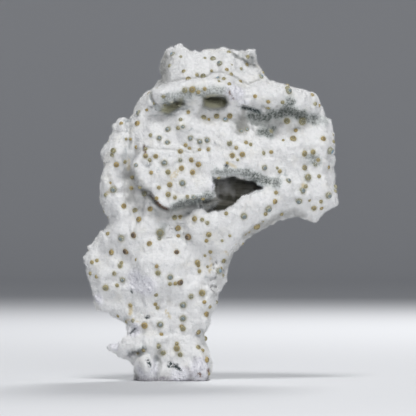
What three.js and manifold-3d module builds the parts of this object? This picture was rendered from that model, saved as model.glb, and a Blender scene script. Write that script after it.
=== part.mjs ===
// Okenite specimen with gyrolite balls: one piece of mineral, grown as a thick folded crust, that
// stands on the flat cut under its broken foot. Millimetres, +Z up, and the front faces -Y.
// The origin is the middle of the foot's resting face.

import * as THREE from "three";
import { mergeVertices } from "three/addons/utils/BufferGeometryUtils.js";
import Module from "manifold-3d";

// ---------------------------------------------------------------- driving dimensions

const CELL = 2.6; // step of the grid that the crust's surface is first drawn on
const GRID_LOW = [-50, -42, -14]; // corners of the space that holds the specimen
const GRID_HIGH = [90, 42, 174];
const CRUST_TRIANGLES = 5100; // how many are left of the crust's own surface at the end
const LUMP_SIZE = 12; // the crust's soft swellings, across
const LUMP_HEIGHT = 1.25;
const KNOB_SIZE = 6; // the smaller swellings on them
const KNOB_HEIGHT = 0.8;
const DENT_SIZE = 10; // dents in the rim between the front and the back
const DENT_DEPTH = 2.6;
const BALL_PROUD = 0.16; // a ball's centre stands this share of its diameter above the crust
const HIDDEN_BALLS = 30; // balls on the sides and the back
const HIDDEN_BALL_DIAMETER = [2.2, 3.2];
const BALL_SPACING = 11; // least distance between two of those

// The outline as seen from the front, clockwise from the foot's lower left corner, as x, z.
const OUTLINE = [
  [-18.3, -11], [-19, 8.5], [-21.5, 10.2], [-25, 11], [-28.5, 14.2], [-32.3, 15.8], [-29.5, 17.8],
  [-23.2, 20], [-21, 21.8], [-22.3, 24.5], [-22.8, 28.8], [-27.5, 32.2], [-37.2, 35.6],
  [-38.8, 42], [-40, 47.5], [-42, 55], [-44.5, 61], [-39.5, 67.3], [-35.8, 73.8], [-33, 74.4],
  [-31.9, 76], [-31.6, 81.6], [-34, 85.3], [-35.6, 90.5], [-33.8, 98.5], [-33.1, 106],
  [-33.6, 111], [-34.6, 115.3], [-31.2, 119.6], [-29.2, 122.6], [-28.2, 127], [-26, 130],
  [-23.5, 130.2], [-21, 128.2], [-18.8, 135], [-16.2, 139.3], [-12.3, 143.2], [-9.5, 144.3],
  [-6.8, 146.8], [-5.1, 151], [-4.9, 158], [-3, 162.8], [-0.6, 165.9], [4, 167.3], [6, 166.2],
  [7.2, 164.9], [10.4, 163.2], [14, 163.8], [18.5, 164.9], [27.5, 165.8], [31, 164.4],
  [34.5, 163.2], [38, 164.8], [41, 164], [41, 161.2], [40.4, 159.4], [43, 155.8], [45.4, 153.4],
  [48.7, 148.8], [61, 145.4], [70, 142.8], [72.2, 140.2], [74.8, 133.5], [78.6, 129.4],
  [80.5, 121.7], [81, 110], [80.6, 103], [82, 93], [81.8, 88.3], [79, 86], [75.5, 83.3],
  [71.8, 79.2], [69.5, 79.8], [66.5, 80.1], [62, 82.1], [58.5, 81.7], [54.5, 80.6], [50.5, 78.8],
  [45.5, 76.3], [42, 74.2], [37.6, 71], [34, 67.8], [30.5, 63.5], [28.2, 59.2], [26.4, 51],
  [23.6, 45], [22, 38.5], [19.2, 33.2], [18.8, 27.5], [15.7, 23.4], [16.8, 19], [18.8, 12.5],
  [19.5, 5], [18.5, -11],
];

// Where the front and the back surfaces lie, as x, z, front y, back y, and how far from the
// outline the edge begins to turn over. The surfaces run smoothly between these stations.
const DEPTHS = [
  [20, 158, -17, 13, 7], // crown
  [-2, 156, -14, 11, 6],
  [38, 156, -13, 10, 6],
  [6, 148, -25, 18, 8],
  [26, 148, -26, 18, 8],
  [44, 148, -22, 14, 7],
  [-13, 138, -16, 16, 8], // left shoulder
  [12, 139, -19, 22, 9], // under the brim
  [10, 124, -29, 25, 10], // face
  [32, 118, -29, 24, 10],
  [22, 108, -29, 22, 10],
  [-8, 116, -26, 24, 10],
  [0, 100, -22, 24, 10], // behind the flap
  [-26, 123, -17, 12, 7], // left bump
  [-30, 103, -17, 11, 7], // left flank
  [-20, 99, -14, 15, 8],
  [-28, 87, -17, 12, 7],
  [56, 144, -27, 13, 7], // right ledge
  [54, 130, -15, 15, 8],
  [70, 130, -14, 11, 7],
  [43, 124, -22, 20, 8],
  [59, 115, -22, 14, 8], // right lobe
  [75, 110, -16, 8, 7],
  [64, 92, -19, 10, 5],
  [70, 85, -12, 7, 4],
  [34, 108, -28, 22, 9], // above the hollow
  [38, 81, -21, 18, 5.5], // bridge
  [30, 94, -21, 21, 9],
  [26, 72, -22, 17, 6.5],
  [-6, 78, -19, 21, 10], // body
  [-6, 58, -23, 22, 11],
  [21, 57, -17, 16, 7],
  [-31, 53, -13, 12, 7],
  [-41, 61, -5, 4, 3.5], // fin
  [-35, 40, -10, 9, 5],
  [-5, 30, -17, 17, 8], // waist
  [-1, 10, -17, 17, 6], // foot
  [-30, 16, -12, -4, 3], // spur
];
const STATION_REACH = 7; // how far a station's own values hold before its neighbours' blend in

// Ridges are rounded folds of the crust: x, y, z and radius at each point.
const BRIM = [
  [-9.5, -21, 140.4, 3.8], [-4, -25, 142.1, 4.6], [6.5, -27, 143.9, 4.8], [16.5, -28, 144.6, 4.8],
  [26.5, -27, 144.3, 4.8], [35, -24, 141.6, 4.4],
];
const LEDGE = [
  [36, -23, 140.5, 4], [45, -23.5, 141, 5], [56.5, -23.5, 140.2, 4.8], [63, -20.5, 138.6, 4.6],
  [68, -15, 136.5, 3.4],
];
const LEFT_RIDGE = [
  [-24.5, -9, 125.3, 4], [-26.4, -13, 118, 5], [-29.5, -13, 108, 4.5], [-30.5, -11, 98, 3.5],
];
const PILLAR = [[10.5, -22, 141, 3.6], [10, -22, 135, 4.4], [7, -23, 129, 5]];
const BRIDGE = [[16, -16.5, 77, 7.5], [30, -17, 83, 8.5], [43, -17, 88.5, 8.5], [54, -16.5, 95, 8]];
const SPUR = [
  [-30.4, -8, 16.4, 0.9], [-26, -10, 16, 2.7], [-20, -14, 16.4, 3.8], [-12, -16, 18.6, 4.6],
  [-4, -13, 22, 4],
];
const FOOT_KNOB = [[-12.5, -15, 8.5, 4.8], [-12.5, -14, 0, 6]];
const BACK_FOLD = [[30, 22, 138, 6], [16, 24, 118, 7], [2, 22, 98, 7], [-8, 19, 78, 6]];
const BACK_RIB = [[60, 10, 134, 5], [58, 12, 112, 6], [44, 14, 96, 6]];

// The flap is a sheet of crust that laps over the left flank and the body, as x, z.
const FLAP = [
  [-13.5, 116], [-17.5, 111], [-19, 108], [-18, 102], [-15.5, 96.5], [-10, 92.5], [-6, 87],
  [-2, 85.5], [3, 88], [10, 90], [20.5, 92.5], [21, 100], [27, 105], [16, 114], [0, 118],
];
const FLAP_FRONT = -27.5;
const FLAP_THICK = 7;

// The hollow is a cave that opens on the front between the face and the bridge, as x, z.
const HOLLOW = [
  [20.5, 101], [31, 102], [42, 99.5], [45.5, 96.5], [44.5, 94.5], [37, 91.5], [31.5, 87.5],
  [27, 85], [17.5, 83.5], [16.5, 90], [21, 92.5],
];
const TONGUE = [[8, -8, 86, 5], [15, -9, 88, 4.4], [20, -8, 89, 2.8]]; // in its lower left corner
const HOLLOW_BACK = 9; // y of its rear wall
const HOLLOW_WIDER = 4; // it is this much wider inside than at its mouth
const HOLLOW_MOUTH = -20; // y where it begins to widen

// Two recesses run in under the brim, as x, z.
const LEFT_RECESS = [
  [-6, 133.5], [-5.5, 136], [-1, 138.5], [5.5, 141], [7, 137.5], [3, 134.5], [-2, 132],
];
const RIGHT_RECESS = [
  [15, 141.5], [20, 142.6], [27, 141.6], [28.5, 138], [26, 135.4], [20, 134.9], [15.5, 136],
];
const RECESS_BACK = -7; // y of their rear walls, at the top
const RECESS_SLANT = 1.6; // their rear walls come this much forward for each mm down
const RECESS_TOP = 141;

// Grooves, pits and undercuts are cut from the crust: x, y, z and radius at each point.
const LEDGE_UNDERCUT = [
  [36, -26, 133, 2.4], [45, -25, 130.5, 5], [58, -25, 129, 6], [73, -20, 129.5, 5],
];
const RECESS = [[33.5, -28, 130, 4], [35.5, -29, 124, 4.2]];
const FLANK_VALLEY = [
  [-20.5, -19, 118, 1], [-20.5, -20, 113, 2.3], [-19.5, -19, 101, 4.8], [-18.5, -19, 89, 4.5],
];
const FLAP_UNDERCUT = [
  [-15, -21, 92, 2.2], [-8, -21, 86, 2.6], [-2, -21, 83, 3], [8, -21, 86, 3.4], [17, -21, 88.5, 3],
];
const SPUR_UNDERCUT = [
  [-22, -14, 11, 2.2], [-17, -18, 13.3, 2], [-12, -21, 15.2, 1.6], [-7, -21, 15.6, 1.2],
];
const FOOT_CREASE = [[-6.5, -19, 14, 1.4], [-5.8, -19.5, 8, 2.2], [-5.5, -19, 1, 1.8]];
const CROWN_CREASE = [[28, -17, 165, 1.6], [34, -16, 159, 1.8], [39, -14, 155, 1.5]];
const BACK_HOLLOW = [[-12, 26, 118, 5], [-14, 22, 106, 7], [-20, 20, 92, 5]];
const BACK_DIP = [[46, 20, 122, 6], [34, 22, 104, 7]];
const FOOT_NOTCHES = [[[1, -20, -1, 3], [7, -19, -2, 3.5]], [[-4, 21, 0, 5], [3, 22, 4, 5]]];

// The balls of the front, as x, z and diameter.
const FRONT_BALLS = [
  // crown
  [0.5, 162.5, 2.5], [20.5, 160.2, 2.5], [23.8, 157.8, 2.5], [15.6, 151.4, 2.5], [8.3, 149.8, 2.5],
  [23, 149.8, 2.5], [44.3, 151.2, 2.5],
  // brim and ledge
  [6.6, 144.1, 2.5], [10.3, 144.4, 3], [57.9, 143.9, 3],
  // face
  [-16.5, 133.4, 2.5], [-17.1, 128, 2.5], [15.8, 130.7, 2.5], [22.3, 131.4, 2.5],
  [26.6, 129.5, 2.5], [28.8, 131.6, 2.5], [-1.8, 124.9, 2.5], [-6.1, 120.6, 2.5],
  [-2.1, 118.2, 2.5], [9.3, 120.6, 2.5], [14, 118.8, 2.5], [17.6, 119.5, 2.5], [28.6, 118, 2.5],
  [35, 112.5, 2.5], [30, 112, 2.5],
  // left flank
  [-29, 114.5, 2.5], [-27.5, 107.5, 2.5], [-29, 95.2, 3], [-23.9, 87, 2.5], [-18.2, 84.7, 2.5],
  [-10.7, 85.5, 2.5],
  // flap
  [-12.8, 111.7, 2.5], [-7.8, 111.7, 2.5], [-3.5, 108.5, 3], [4.3, 113.9, 2.5], [9.9, 109.8, 2.5],
  [13.3, 107.5, 2.5], [-1.8, 103.7, 2.5], [4.9, 105.7, 2.5], [10.3, 103.7, 2.5], [-0.9, 97.5, 2.5],
  [5.3, 98.3, 3], [-1.7, 92.7, 2.5], [-13.5, 93, 2.5],
  // right lobe
  [57.2, 129.2, 3], [64.8, 129.1, 3.5], [60.2, 120.3, 3], [75.2, 120.3, 2.5], [65.6, 113, 3],
  [70.1, 113.7, 2.5], [78.7, 114.5, 3.5], [46, 106, 2.5], [65.9, 106, 2.5], [67.7, 101.3, 3],
  [57.8, 99.4, 2.5], [64.8, 94.6, 3], [63.2, 89.5, 3], [51, 89.2, 2.5], [78, 92.3, 3],
  [70.7, 86, 2.5], [48, 85.5, 3],
  // body
  [-16.3, 80.4, 2.5], [-25, 71, 3], [-18.7, 72.5, 3], [-11, 68.3, 2.5], [-5.7, 73.7, 3.5],
  [1.5, 81.2, 2.5], [4.3, 81.2, 2.5], [3.2, 76, 2.5], [8.2, 71.6, 3], [11.4, 80.6, 2.5],
  [18.4, 72.8, 2.5], [35.8, 81.9, 3], [35.8, 78.6, 3], [35, 76.7, 2.5], [-30, 64, 2.5],
  [-22.7, 64.5, 3], [2.5, 64, 2.5], [25.5, 59.8, 2.5], [12.8, 58.9, 2.5], [23.3, 54.8, 3],
  [-25.6, 57.1, 2.5], [-28.8, 53.6, 2.5], [-6.8, 53.8, 2.5], [-0.8, 51.6, 3], [4.1, 49.2, 3],
  [-24.5, 50.3, 2.5], [-32.9, 46.4, 3], [15.1, 43.8, 3], [9.5, 42.1, 2.5], [5.7, 37.8, 3],
  [16.8, 33.2, 3], [5.6, 31.2, 3], [-5.7, 28.2, 3], [-13.5, 27.6, 3],
  // waist and foot
  [5.6, 26.1, 2.5], [13.1, 24.3, 2.5], [-6.7, 17.4, 2.5], [2.5, 16.3, 3], [4.3, 13.2, 2.5],
  [13, 16.6, 2.5], [-4.2, 13.9, 2.5], [17, 10.5, 3],
];

// ---------------------------------------------------------------- the crust as a field

// Every shape below is a function of a point that is about the distance to the shape's surface,
// under zero inside it.
const clamp = THREE.MathUtils.clamp;
const mix = THREE.MathUtils.lerp;
const ease = (t) => t * t * t * (t * (6 * t - 15) + 10);

// Joins two shapes with a fillet about as wide as `blend`.
function join(a, b, blend) {
  const share = clamp(0.5 + (0.5 * (b - a)) / blend, 0, 1);
  return mix(b, a, share) - blend * share * (1 - share);
}

// Takes the second shape out of the first, with its rim rounded by about `blend`.
function cut(a, b, blend) {
  return -join(-a, b, blend);
}

// A chain of round rods through points that hold x, y, z and the radius there.
function rods(points, x, y, z) {
  let nearest = Infinity;
  for (let i = 1; i < points.length; i++) {
    const [ax, ay, az, ar] = points[i - 1];
    const [bx, by, bz, br] = points[i];
    const dx = bx - ax;
    const dy = by - ay;
    const dz = bz - az;
    const along = (x - ax) * dx + (y - ay) * dy + (z - az) * dz;
    const t = clamp(along / (dx * dx + dy * dy + dz * dz), 0, 1);
    const away = Math.hypot(x - ax - t * dx, y - ay - t * dy, z - az - t * dz);
    nearest = Math.min(nearest, away - mix(ar, br, t));
  }
  return nearest;
}

// The distance in the front plane to a closed outline, under zero inside it.
function outlineDistance(outline, x, z) {
  let nearest = Infinity;
  let inside = false;
  for (let i = 0, j = outline.length - 1; i < outline.length; j = i++) {
    const [ax, az] = outline[j];
    const [bx, bz] = outline[i];
    const dx = bx - ax;
    const dz = bz - az;
    const t = clamp(((x - ax) * dx + (z - az) * dz) / (dx * dx + dz * dz), 0, 1);
    nearest = Math.min(nearest, Math.hypot(x - ax - t * dx, z - az - t * dz));
    if (az > z !== bz > z && x < ax + (dx * (z - az)) / dz) inside = !inside;
  }
  return inside ? -nearest : nearest;
}

// Front y, back y and edge width at a place on the front plane.
function depthsAt(x, z) {
  let total = 0;
  const sums = [0, 0, 0];
  for (const [sx, sz, ...values] of DEPTHS) {
    const weight = 1 / ((x - sx) ** 2 + (z - sz) ** 2 + STATION_REACH ** 2) ** 2;
    total += weight;
    values.forEach((value, i) => (sums[i] += weight * value));
  }
  return sums.map((sum) => sum / total);
}

// What stays the same all along a line from front to back. The last line is kept, because the
// field is mostly read along such lines.
const line = { x: NaN, z: NaN };
function lineAt(x, z) {
  if (line.x !== x || line.z !== z) {
    Object.assign(line, { x, z, depths: depthsAt(x, z) });
    line.outline = outlineDistance(OUTLINE, x, z);
    line.flap = outlineDistance(FLAP, x, z);
    line.hollow = outlineDistance(HOLLOW, x, z);
    line.recess = Math.min(outlineDistance(LEFT_RECESS, x, z), outlineDistance(RIGHT_RECESS, x, z));
  }
  return line;
}

// The body: as deep as its stations say, with an elliptical edge along the outline.
function body(x, y, z) {
  const { depths, outline } = lineAt(x, z);
  const [front, back, edge] = depths;
  const half = (back - front) / 2;
  const inwards = Math.max(0, 1 + outline / edge);
  const outwards = Math.abs(y - (front + back) / 2) / half;
  const round = Math.hypot(inwards, outwards);
  if (round === 0) return -Math.min(edge, half);
  const scale = (edge * inwards ** 2 + half * outwards ** 2) / round ** 2;
  return (round - 1) * scale;
}

function flap(x, y, z) {
  const across = lineAt(x, z).flap;
  const through = Math.abs(y - FLAP_FRONT - FLAP_THICK / 2) - FLAP_THICK / 2;
  const rounding = 2;
  const outside = Math.hypot(Math.max(across + rounding, 0), Math.max(through + rounding, 0));
  return outside + Math.min(Math.max(across, through) + rounding, 0) - rounding;
}

function hollow(x, y, z) {
  const wider = HOLLOW_WIDER * THREE.MathUtils.smoothstep(y, HOLLOW_MOUTH, HOLLOW_MOUTH + 10);
  return Math.max(lineAt(x, z).hollow - wider, y - HOLLOW_BACK);
}

// The recesses are highest and deepest right under the brim.
function recesses(x, y, z) {
  const behind = y - RECESS_BACK + RECESS_SLANT * (RECESS_TOP - z);
  return Math.max(lineAt(x, z).recess, behind / Math.hypot(1, RECESS_SLANT));
}

// A number from -1 to 1 for each corner of a cubic grid, always the same for the same corner.
function cornerValue(i, j, k) {
  const wave = Math.sin(i * 12.9898 + j * 78.233 + k * 37.719) * 43758.5453;
  return 2 * (wave - Math.floor(wave)) - 1;
}

// Smooth noise from -1 to 1, made from the corner values around a point.
function noise(x, y, z) {
  const [i, j, k] = [Math.floor(x), Math.floor(y), Math.floor(z)];
  const [u, v, w] = [ease(x - i), ease(y - j), ease(z - k)];
  const row = (dj, dk) =>
    mix(cornerValue(i, j + dj, k + dk), cornerValue(i + 1, j + dj, k + dk), u);
  return mix(mix(row(0, 0), row(1, 0), v), mix(row(0, 1), row(1, 1), v), w);
}

// How much the crust swells out at a point, and how deep its rim is dented there. Both fade out
// where the outline is, so that it keeps its place.
function swelling(x, y, z) {
  const { depths, outline } = lineAt(x, z);
  const [front, back] = depths;
  const fromMiddle = Math.abs(2 * y - front - back) / (back - front);
  const { smoothstep } = THREE.MathUtils;
  const share = Math.max(smoothstep(-outline, 0.5, 6), smoothstep(fromMiddle, 0.15, 0.7));
  const lump = noise(x / LUMP_SIZE + 11, y / LUMP_SIZE, z / LUMP_SIZE);
  const knob = noise(x / KNOB_SIZE + 7, y / KNOB_SIZE, z / KNOB_SIZE);
  const dent = noise(x / DENT_SIZE + 5, y / DENT_SIZE + 5, z / DENT_SIZE + 5);
  const rim = smoothstep(fromMiddle, 0.1, 0.6) * (1 - smoothstep(-outline, 4, 12));
  return (LUMP_HEIGHT * lump + KNOB_HEIGHT * knob) * share - DENT_DEPTH * Math.max(0, dent) * rim;
}

// The whole crust, without its balls.
function crust(x, y, z) {
  let f = body(x, y, z);
  f = join(f, rods(BRIDGE, x, y, z), 5);
  f = join(f, rods(BACK_FOLD, x, y, z), 8);
  f = join(f, rods(BACK_RIB, x, y, z), 8);
  f = join(f, rods(LEFT_RIDGE, x, y, z), 4);
  f = cut(f, rods(FLANK_VALLEY, x, y, z), 5);
  f = cut(f, rods(LEDGE_UNDERCUT, x, y, z), 5);
  f = cut(f, rods(RECESS, x, y, z), 3);
  f = cut(f, rods(BACK_HOLLOW, x, y, z), 6);
  f = cut(f, rods(BACK_DIP, x, y, z), 8);
  f = join(f, rods(BRIM, x, y, z), 4);
  f = join(f, rods(LEDGE, x, y, z), 4);
  f = join(f, rods(PILLAR, x, y, z), 4);
  f = cut(f, recesses(x, y, z), 1.5);
  f = join(f, flap(x, y, z), 2);
  f = cut(f, rods(FLAP_UNDERCUT, x, y, z), 1.5);
  f = join(f, rods(SPUR, x, y, z), 4);
  f = join(f, rods(FOOT_KNOB, x, y, z), 2);
  f = cut(f, rods(SPUR_UNDERCUT, x, y, z), 1.5);
  f = cut(f, rods(FOOT_CREASE, x, y, z), 2);
  f = cut(f, rods(CROWN_CREASE, x, y, z), 2);
  for (const notch of FOOT_NOTCHES) f = cut(f, rods(notch, x, y, z), 1.5);
  f = cut(f, hollow(x, y, z), 3);
  f = join(f, rods(TONGUE, x, y, z), 2);
  return f - swelling(x, y, z);
}

// ---------------------------------------------------------------- from the field to a mesh

const SIDES = [0, 1, 2];
const SQUARE = [[0, 0], [1, 0], [1, 1], [0, 1]];

// A cell of the grid is simple if each of its faces is crossed at most twice and the surface
// passes through it once. `inside` has one bit for each of its eight corners.
function isSimple(inside) {
  const bit = (corner) => (inside >> corner) & 1;
  for (const axis of SIDES)
    for (const end of [0, 1]) {
      const [p, q] = [(axis + 1) % 3, (axis + 2) % 3];
      const [a, b, c, d] = SQUARE.map(([u, v]) => bit((end << axis) | (u << p) | (v << q)));
      if (a === c && b === d && a !== b) return false;
    }
  const pieces = new Set();
  const root = [0, 1, 2, 3, 4, 5, 6, 7];
  const find = (corner) => (root[corner] === corner ? corner : find(root[corner]));
  for (let corner = 0; corner < 8; corner++)
    for (const axis of SIDES) {
      const other = corner ^ (1 << axis);
      if (bit(corner) === bit(other)) root[find(corner)] = find(other);
    }
  for (let corner = 0; corner < 8; corner++) pieces.add(find(corner));
  return pieces.size <= 2;
}

// Moves the surface past a corner, the nearest one, of each cell that isn't simple, until all
// are. No corner is moved past twice, so this ends. A mesh drawn on simple cells is closed, with
// two faces at each of its edges.
function makeSimple(values, strides, count) {
  const simple = Array.from({ length: 256 }, (_, inside) => isSimple(inside));
  const offsets = Array.from({ length: 8 }, (_, corner) =>
    strides.reduce((sum, stride, axis) => sum + ((corner >> axis) & 1) * stride, 0),
  );
  const done = new Set();
  for (let changed = true; changed; ) {
    changed = false;
    for (let k = 0; k < count[2] - 1; k++)
      for (let j = 0; j < count[1] - 1; j++)
        for (let i = 0; i < count[0] - 1; i++) {
          const cell = i * strides[0] + j * strides[1] + k * strides[2];
          let inside = 0;
          for (let c = 0; c < 8; c++) if (values[cell + offsets[c]] < 0) inside |= 1 << c;
          if (simple[inside]) continue;
          const [near] = offsets
            .map((offset) => cell + offset)
            .filter((corner) => !done.has(corner))
            .sort((a, b) => Math.abs(values[a]) - Math.abs(values[b]));
          if (near === undefined) continue;
          values[near] = values[near] < 0 ? 0.05 : -0.05;
          done.add(near);
          changed = true;
        }
  }
}

// Surface nets: one vertex in each grid cell that the surface passes through, and one quad
// across each grid edge that it crosses.
function surfaceOf(field, low, high, step) {
  const count = low.map((from, axis) => Math.ceil((high[axis] - from) / step) + 1);
  const [nx, ny] = count;
  const index = (i, j, k) => i + nx * (j + ny * k);
  const values = new Float64Array(count[0] * count[1] * count[2]);
  for (let k = 0; k < count[2]; k++)
    for (let i = 0; i < nx; i++)
      for (let j = 0; j < ny; j++)
        values[index(i, j, k)] = field(low[0] + i * step, low[1] + j * step, low[2] + k * step);

  const strides = [1, nx, nx * ny];
  makeSimple(values, strides, count);
  const cellVertex = new Map();
  const positions = [];
  const vertexOf = (cell, at) => {
    if (cellVertex.has(cell)) return cellVertex.get(cell);
    const sum = [0, 0, 0];
    let crossings = 0;
    for (let axis = 0; axis < 3; axis++) {
      const [p, q] = [(axis + 1) % 3, (axis + 2) % 3];
      for (const [dp, dq] of [[0, 0], [1, 0], [0, 1], [1, 1]]) {
        const start = cell + dp * strides[p] + dq * strides[q];
        const a = values[start];
        const b = values[start + strides[axis]];
        if (a < 0 === b < 0) continue;
        crossings++;
        sum[axis] += a / (a - b);
        sum[p] += dp;
        sum[q] += dq;
      }
    }
    sum.forEach((value, axis) => positions.push(low[axis] + step * (at[axis] + value / crossings)));
    cellVertex.set(cell, positions.length / 3 - 1);
    return positions.length / 3 - 1;
  };

  const triangles = [];
  for (let k = 1; k < count[2] - 1; k++)
    for (let j = 1; j < ny - 1; j++)
      for (let i = 1; i < nx - 1; i++)
        for (let axis = 0; axis < 3; axis++) {
          const here = index(i, j, k);
          const a = values[here];
          const b = values[here + strides[axis]];
          if (a < 0 === b < 0) continue;
          const [p, q] = [(axis + 1) % 3, (axis + 2) % 3];
          const quad = [[1, 1], [0, 1], [0, 0], [1, 0]].map(([dp, dq]) => {
            const at = [i, j, k];
            at[p] -= dp;
            at[q] -= dq;
            return vertexOf(here - dp * strides[p] - dq * strides[q], at);
          });
          if (a > 0) quad.reverse();
          triangles.push(quad[0], quad[1], quad[2], quad[0], quad[2], quad[3]);
        }
  return { positions, triangles };
}

// The direction in which the field rises fastest, which is outwards, with its steepness.
function slopeAt(x, y, z) {
  const d = 0.2;
  return new THREE.Vector3(
    crust(x + d, y, z) - crust(x - d, y, z),
    crust(x, y + d, z) - crust(x, y - d, z),
    crust(x, y, z + d) - crust(x, y, z - d),
  ).divideScalar(2 * d);
}

// Evens the triangles out: each vertex moves towards the middle of its neighbours and back on
// to the surface.
function relax({ positions, triangles }, rounds) {
  const neighbours = Array.from({ length: positions.length / 3 }, () => new Set());
  for (let t = 0; t < triangles.length; t += 3)
    for (let i = 0; i < 3; i++) {
      neighbours[triangles[t + i]].add(triangles[t + ((i + 1) % 3)]);
      neighbours[triangles[t + ((i + 1) % 3)]].add(triangles[t + i]);
    }
  const at = neighbours.map((_, i) => new THREE.Vector3().fromArray(positions, 3 * i));
  for (let round = 0; round < rounds; round++) {
    const middles = neighbours.map((near) => {
      const middle = new THREE.Vector3();
      for (const n of near) middle.add(at[n]);
      return middle.divideScalar(near.size);
    });
    at.forEach((vertex, i) => {
      vertex.lerp(middles[i], 0.5);
      const slope = slopeAt(vertex.x, vertex.y, vertex.z);
      const steep = Math.max(slope.lengthSq(), 0.25);
      const off = clamp(crust(vertex.x, vertex.y, vertex.z), -CELL / 2, CELL / 2);
      vertex.addScaledVector(slope, -off / steep);
    });
  }
  return { positions: at.flatMap((vertex) => vertex.toArray()), triangles };
}

// The sum of squared distances from a point to a set of planes, as the ten numbers that add up.
function planeSum(normal, offset, weight) {
  const { x, y, z } = normal;
  const rows = [x * x, x * y, x * z, x * offset, y * y, y * z, y * offset, z * z, z * offset];
  return [...rows, offset * offset].map((value) => value * weight);
}

// Takes edges out, the ones that the shape misses least first, until `wanted` triangles are left.
function reduce({ positions, triangles }, wanted) {
  const at = [];
  for (let i = 0; i < positions.length; i += 3)
    at.push(new THREE.Vector3().fromArray(positions, i));
  let faces = [];
  for (let t = 0; t < triangles.length; t += 3) faces.push(triangles.slice(t, t + 3));

  const normalOf = ([a, b, c], moved = {}) => {
    const [p, q, r] = [a, b, c].map((v) => moved[v] ?? at[v]);
    return q.clone().sub(p).cross(r.clone().sub(p)); // as long as twice the area
  };
  const sums = at.map(() => new Array(10).fill(0));
  const addTo = (vertex, sum) => sum.forEach((value, i) => (sums[vertex][i] += value));
  for (const face of faces) {
    const normal = normalOf(face);
    const area = normal.length() / 2;
    normal.normalize();
    for (const vertex of face) {
      addTo(vertex, planeSum(normal, -normal.dot(at[face[0]]), area));
      for (const [i, axis] of ["x", "y", "z"].entries()) {
        const along = new THREE.Vector3().setComponent(i, 1);
        addTo(vertex, planeSum(along, -at[vertex][axis], 0.004 * area));
      }
    }
  }

  // The best place for the one vertex that an edge shrinks to, and what it costs.
  const shrink = (u, v) => {
    const [xx, xy, xz, xo, yy, yz, yo, zz, zo, oo] = sums[u].map((value, i) => value + sums[v][i]);
    const matrix = new THREE.Matrix3().set(xx, xy, xz, xy, yy, yz, xz, yz, zz).invert();
    const to = new THREE.Vector3(-xo, -yo, -zo).applyMatrix3(matrix);
    return { u, v, to, cost: to.x * xo + to.y * yo + to.z * zo + oo };
  };

  while (faces.length > wanted) {
    const around = at.map(() => []);
    for (const face of faces) for (const vertex of face) around[vertex].push(face);
    const edges = [];
    for (const [a, b, c] of faces)
      for (const [u, v] of [[a, b], [b, c], [c, a]]) if (u < v) edges.push(shrink(u, v));
    edges.sort((p, q) => p.cost - q.cost);

    const touched = new Set();
    const quota = Math.min(Math.ceil(faces.length / 24), Math.ceil((faces.length - wanted) / 2));
    let done = 0;
    for (const { u, v, to } of edges) {
      if (done === quota) break;
      const [ringU, ringV] = [u, v].map((vertex) => new Set(around[vertex].flat()));
      if ([...ringU, ...ringV].some((vertex) => touched.has(vertex))) continue;
      // Both ends share just their two other corners, or the surface would touch itself.
      if ([...ringU].filter((vertex) => ringV.has(vertex)).length !== 4) continue;
      if (ringU.size + ringV.size > 16) continue;
      const kept = [...around[u], ...around[v]].filter((f) => !(f.includes(u) && f.includes(v)));
      const turns = kept.some((face) => {
        const [before, after] = [normalOf(face), normalOf(face, { [u]: to, [v]: to })];
        return before.dot(after) < 0.35 * before.length() * after.length();
      });
      if (turns) continue;
      for (const vertex of [...ringU, ...ringV]) touched.add(vertex);
      at[u] = to;
      addTo(u, sums[v]);
      for (const face of around[v]) face[face.indexOf(v)] = u;
      done++;
    }
    if (done === 0) break;
    faces = faces.filter(([a, b, c]) => a !== b && b !== c && c !== a);
  }

  const used = [...new Set(faces.flat())];
  const place = new Map(used.map((vertex, i) => [vertex, i]));
  return {
    positions: used.flatMap((vertex) => at[vertex].toArray()),
    triangles: faces.flat().map((vertex) => place.get(vertex)),
  };
}

// ---------------------------------------------------------------- solids

const wasm = await Module();
wasm.setup();

function solidFrom(positions, triangles) {
  return new wasm.Manifold(
    new wasm.Mesh({
      numProp: 3,
      vertProperties: Float32Array.from(positions),
      triVerts: Uint32Array.from(triangles),
    }),
  );
}

function solidOf(geometry) {
  const bare = geometry.clone().deleteAttribute("normal").deleteAttribute("uv");
  const merged = mergeVertices(bare);
  return solidFrom(merged.getAttribute("position").array, merged.index.array);
}

function geometryOf(solid) {
  const mesh = solid.getMesh();
  const geometry = new THREE.BufferGeometry();
  const positions = new Float32Array(mesh.vertProperties);
  geometry.setAttribute("position", new THREE.BufferAttribute(positions, 3));
  geometry.setIndex(new THREE.BufferAttribute(new Uint32Array(mesh.triVerts), 1));
  geometry.computeVertexNormals();
  return geometry;
}

// ---------------------------------------------------------------- the balls

// A ball of `diameter` that is sunk into the crust at a point of its surface. It has few faces,
// with one of its poles pointing out.
function ballAt(point, diameter) {
  const outwards = slopeAt(point.x, point.y, point.z).normalize();
  const centre = point.clone().addScaledVector(outwards, BALL_PROUD * diameter);
  const turn = new THREE.Quaternion().setFromUnitVectors(new THREE.Vector3(0, 1, 0), outwards);
  const ball = new THREE.SphereGeometry(diameter / 2, 5, 3).applyQuaternion(turn);
  return solidOf(ball.translate(centre.x, centre.y, centre.z));
}

// The first point of the crust on a line from the front, or nothing.
function frontAt(x, z) {
  let y = GRID_LOW[1];
  while (crust(x, y, z) > 0 && y < GRID_HIGH[1]) y += 0.25;
  return y < GRID_HIGH[1] ? new THREE.Vector3(x, y, z) : null;
}

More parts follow.
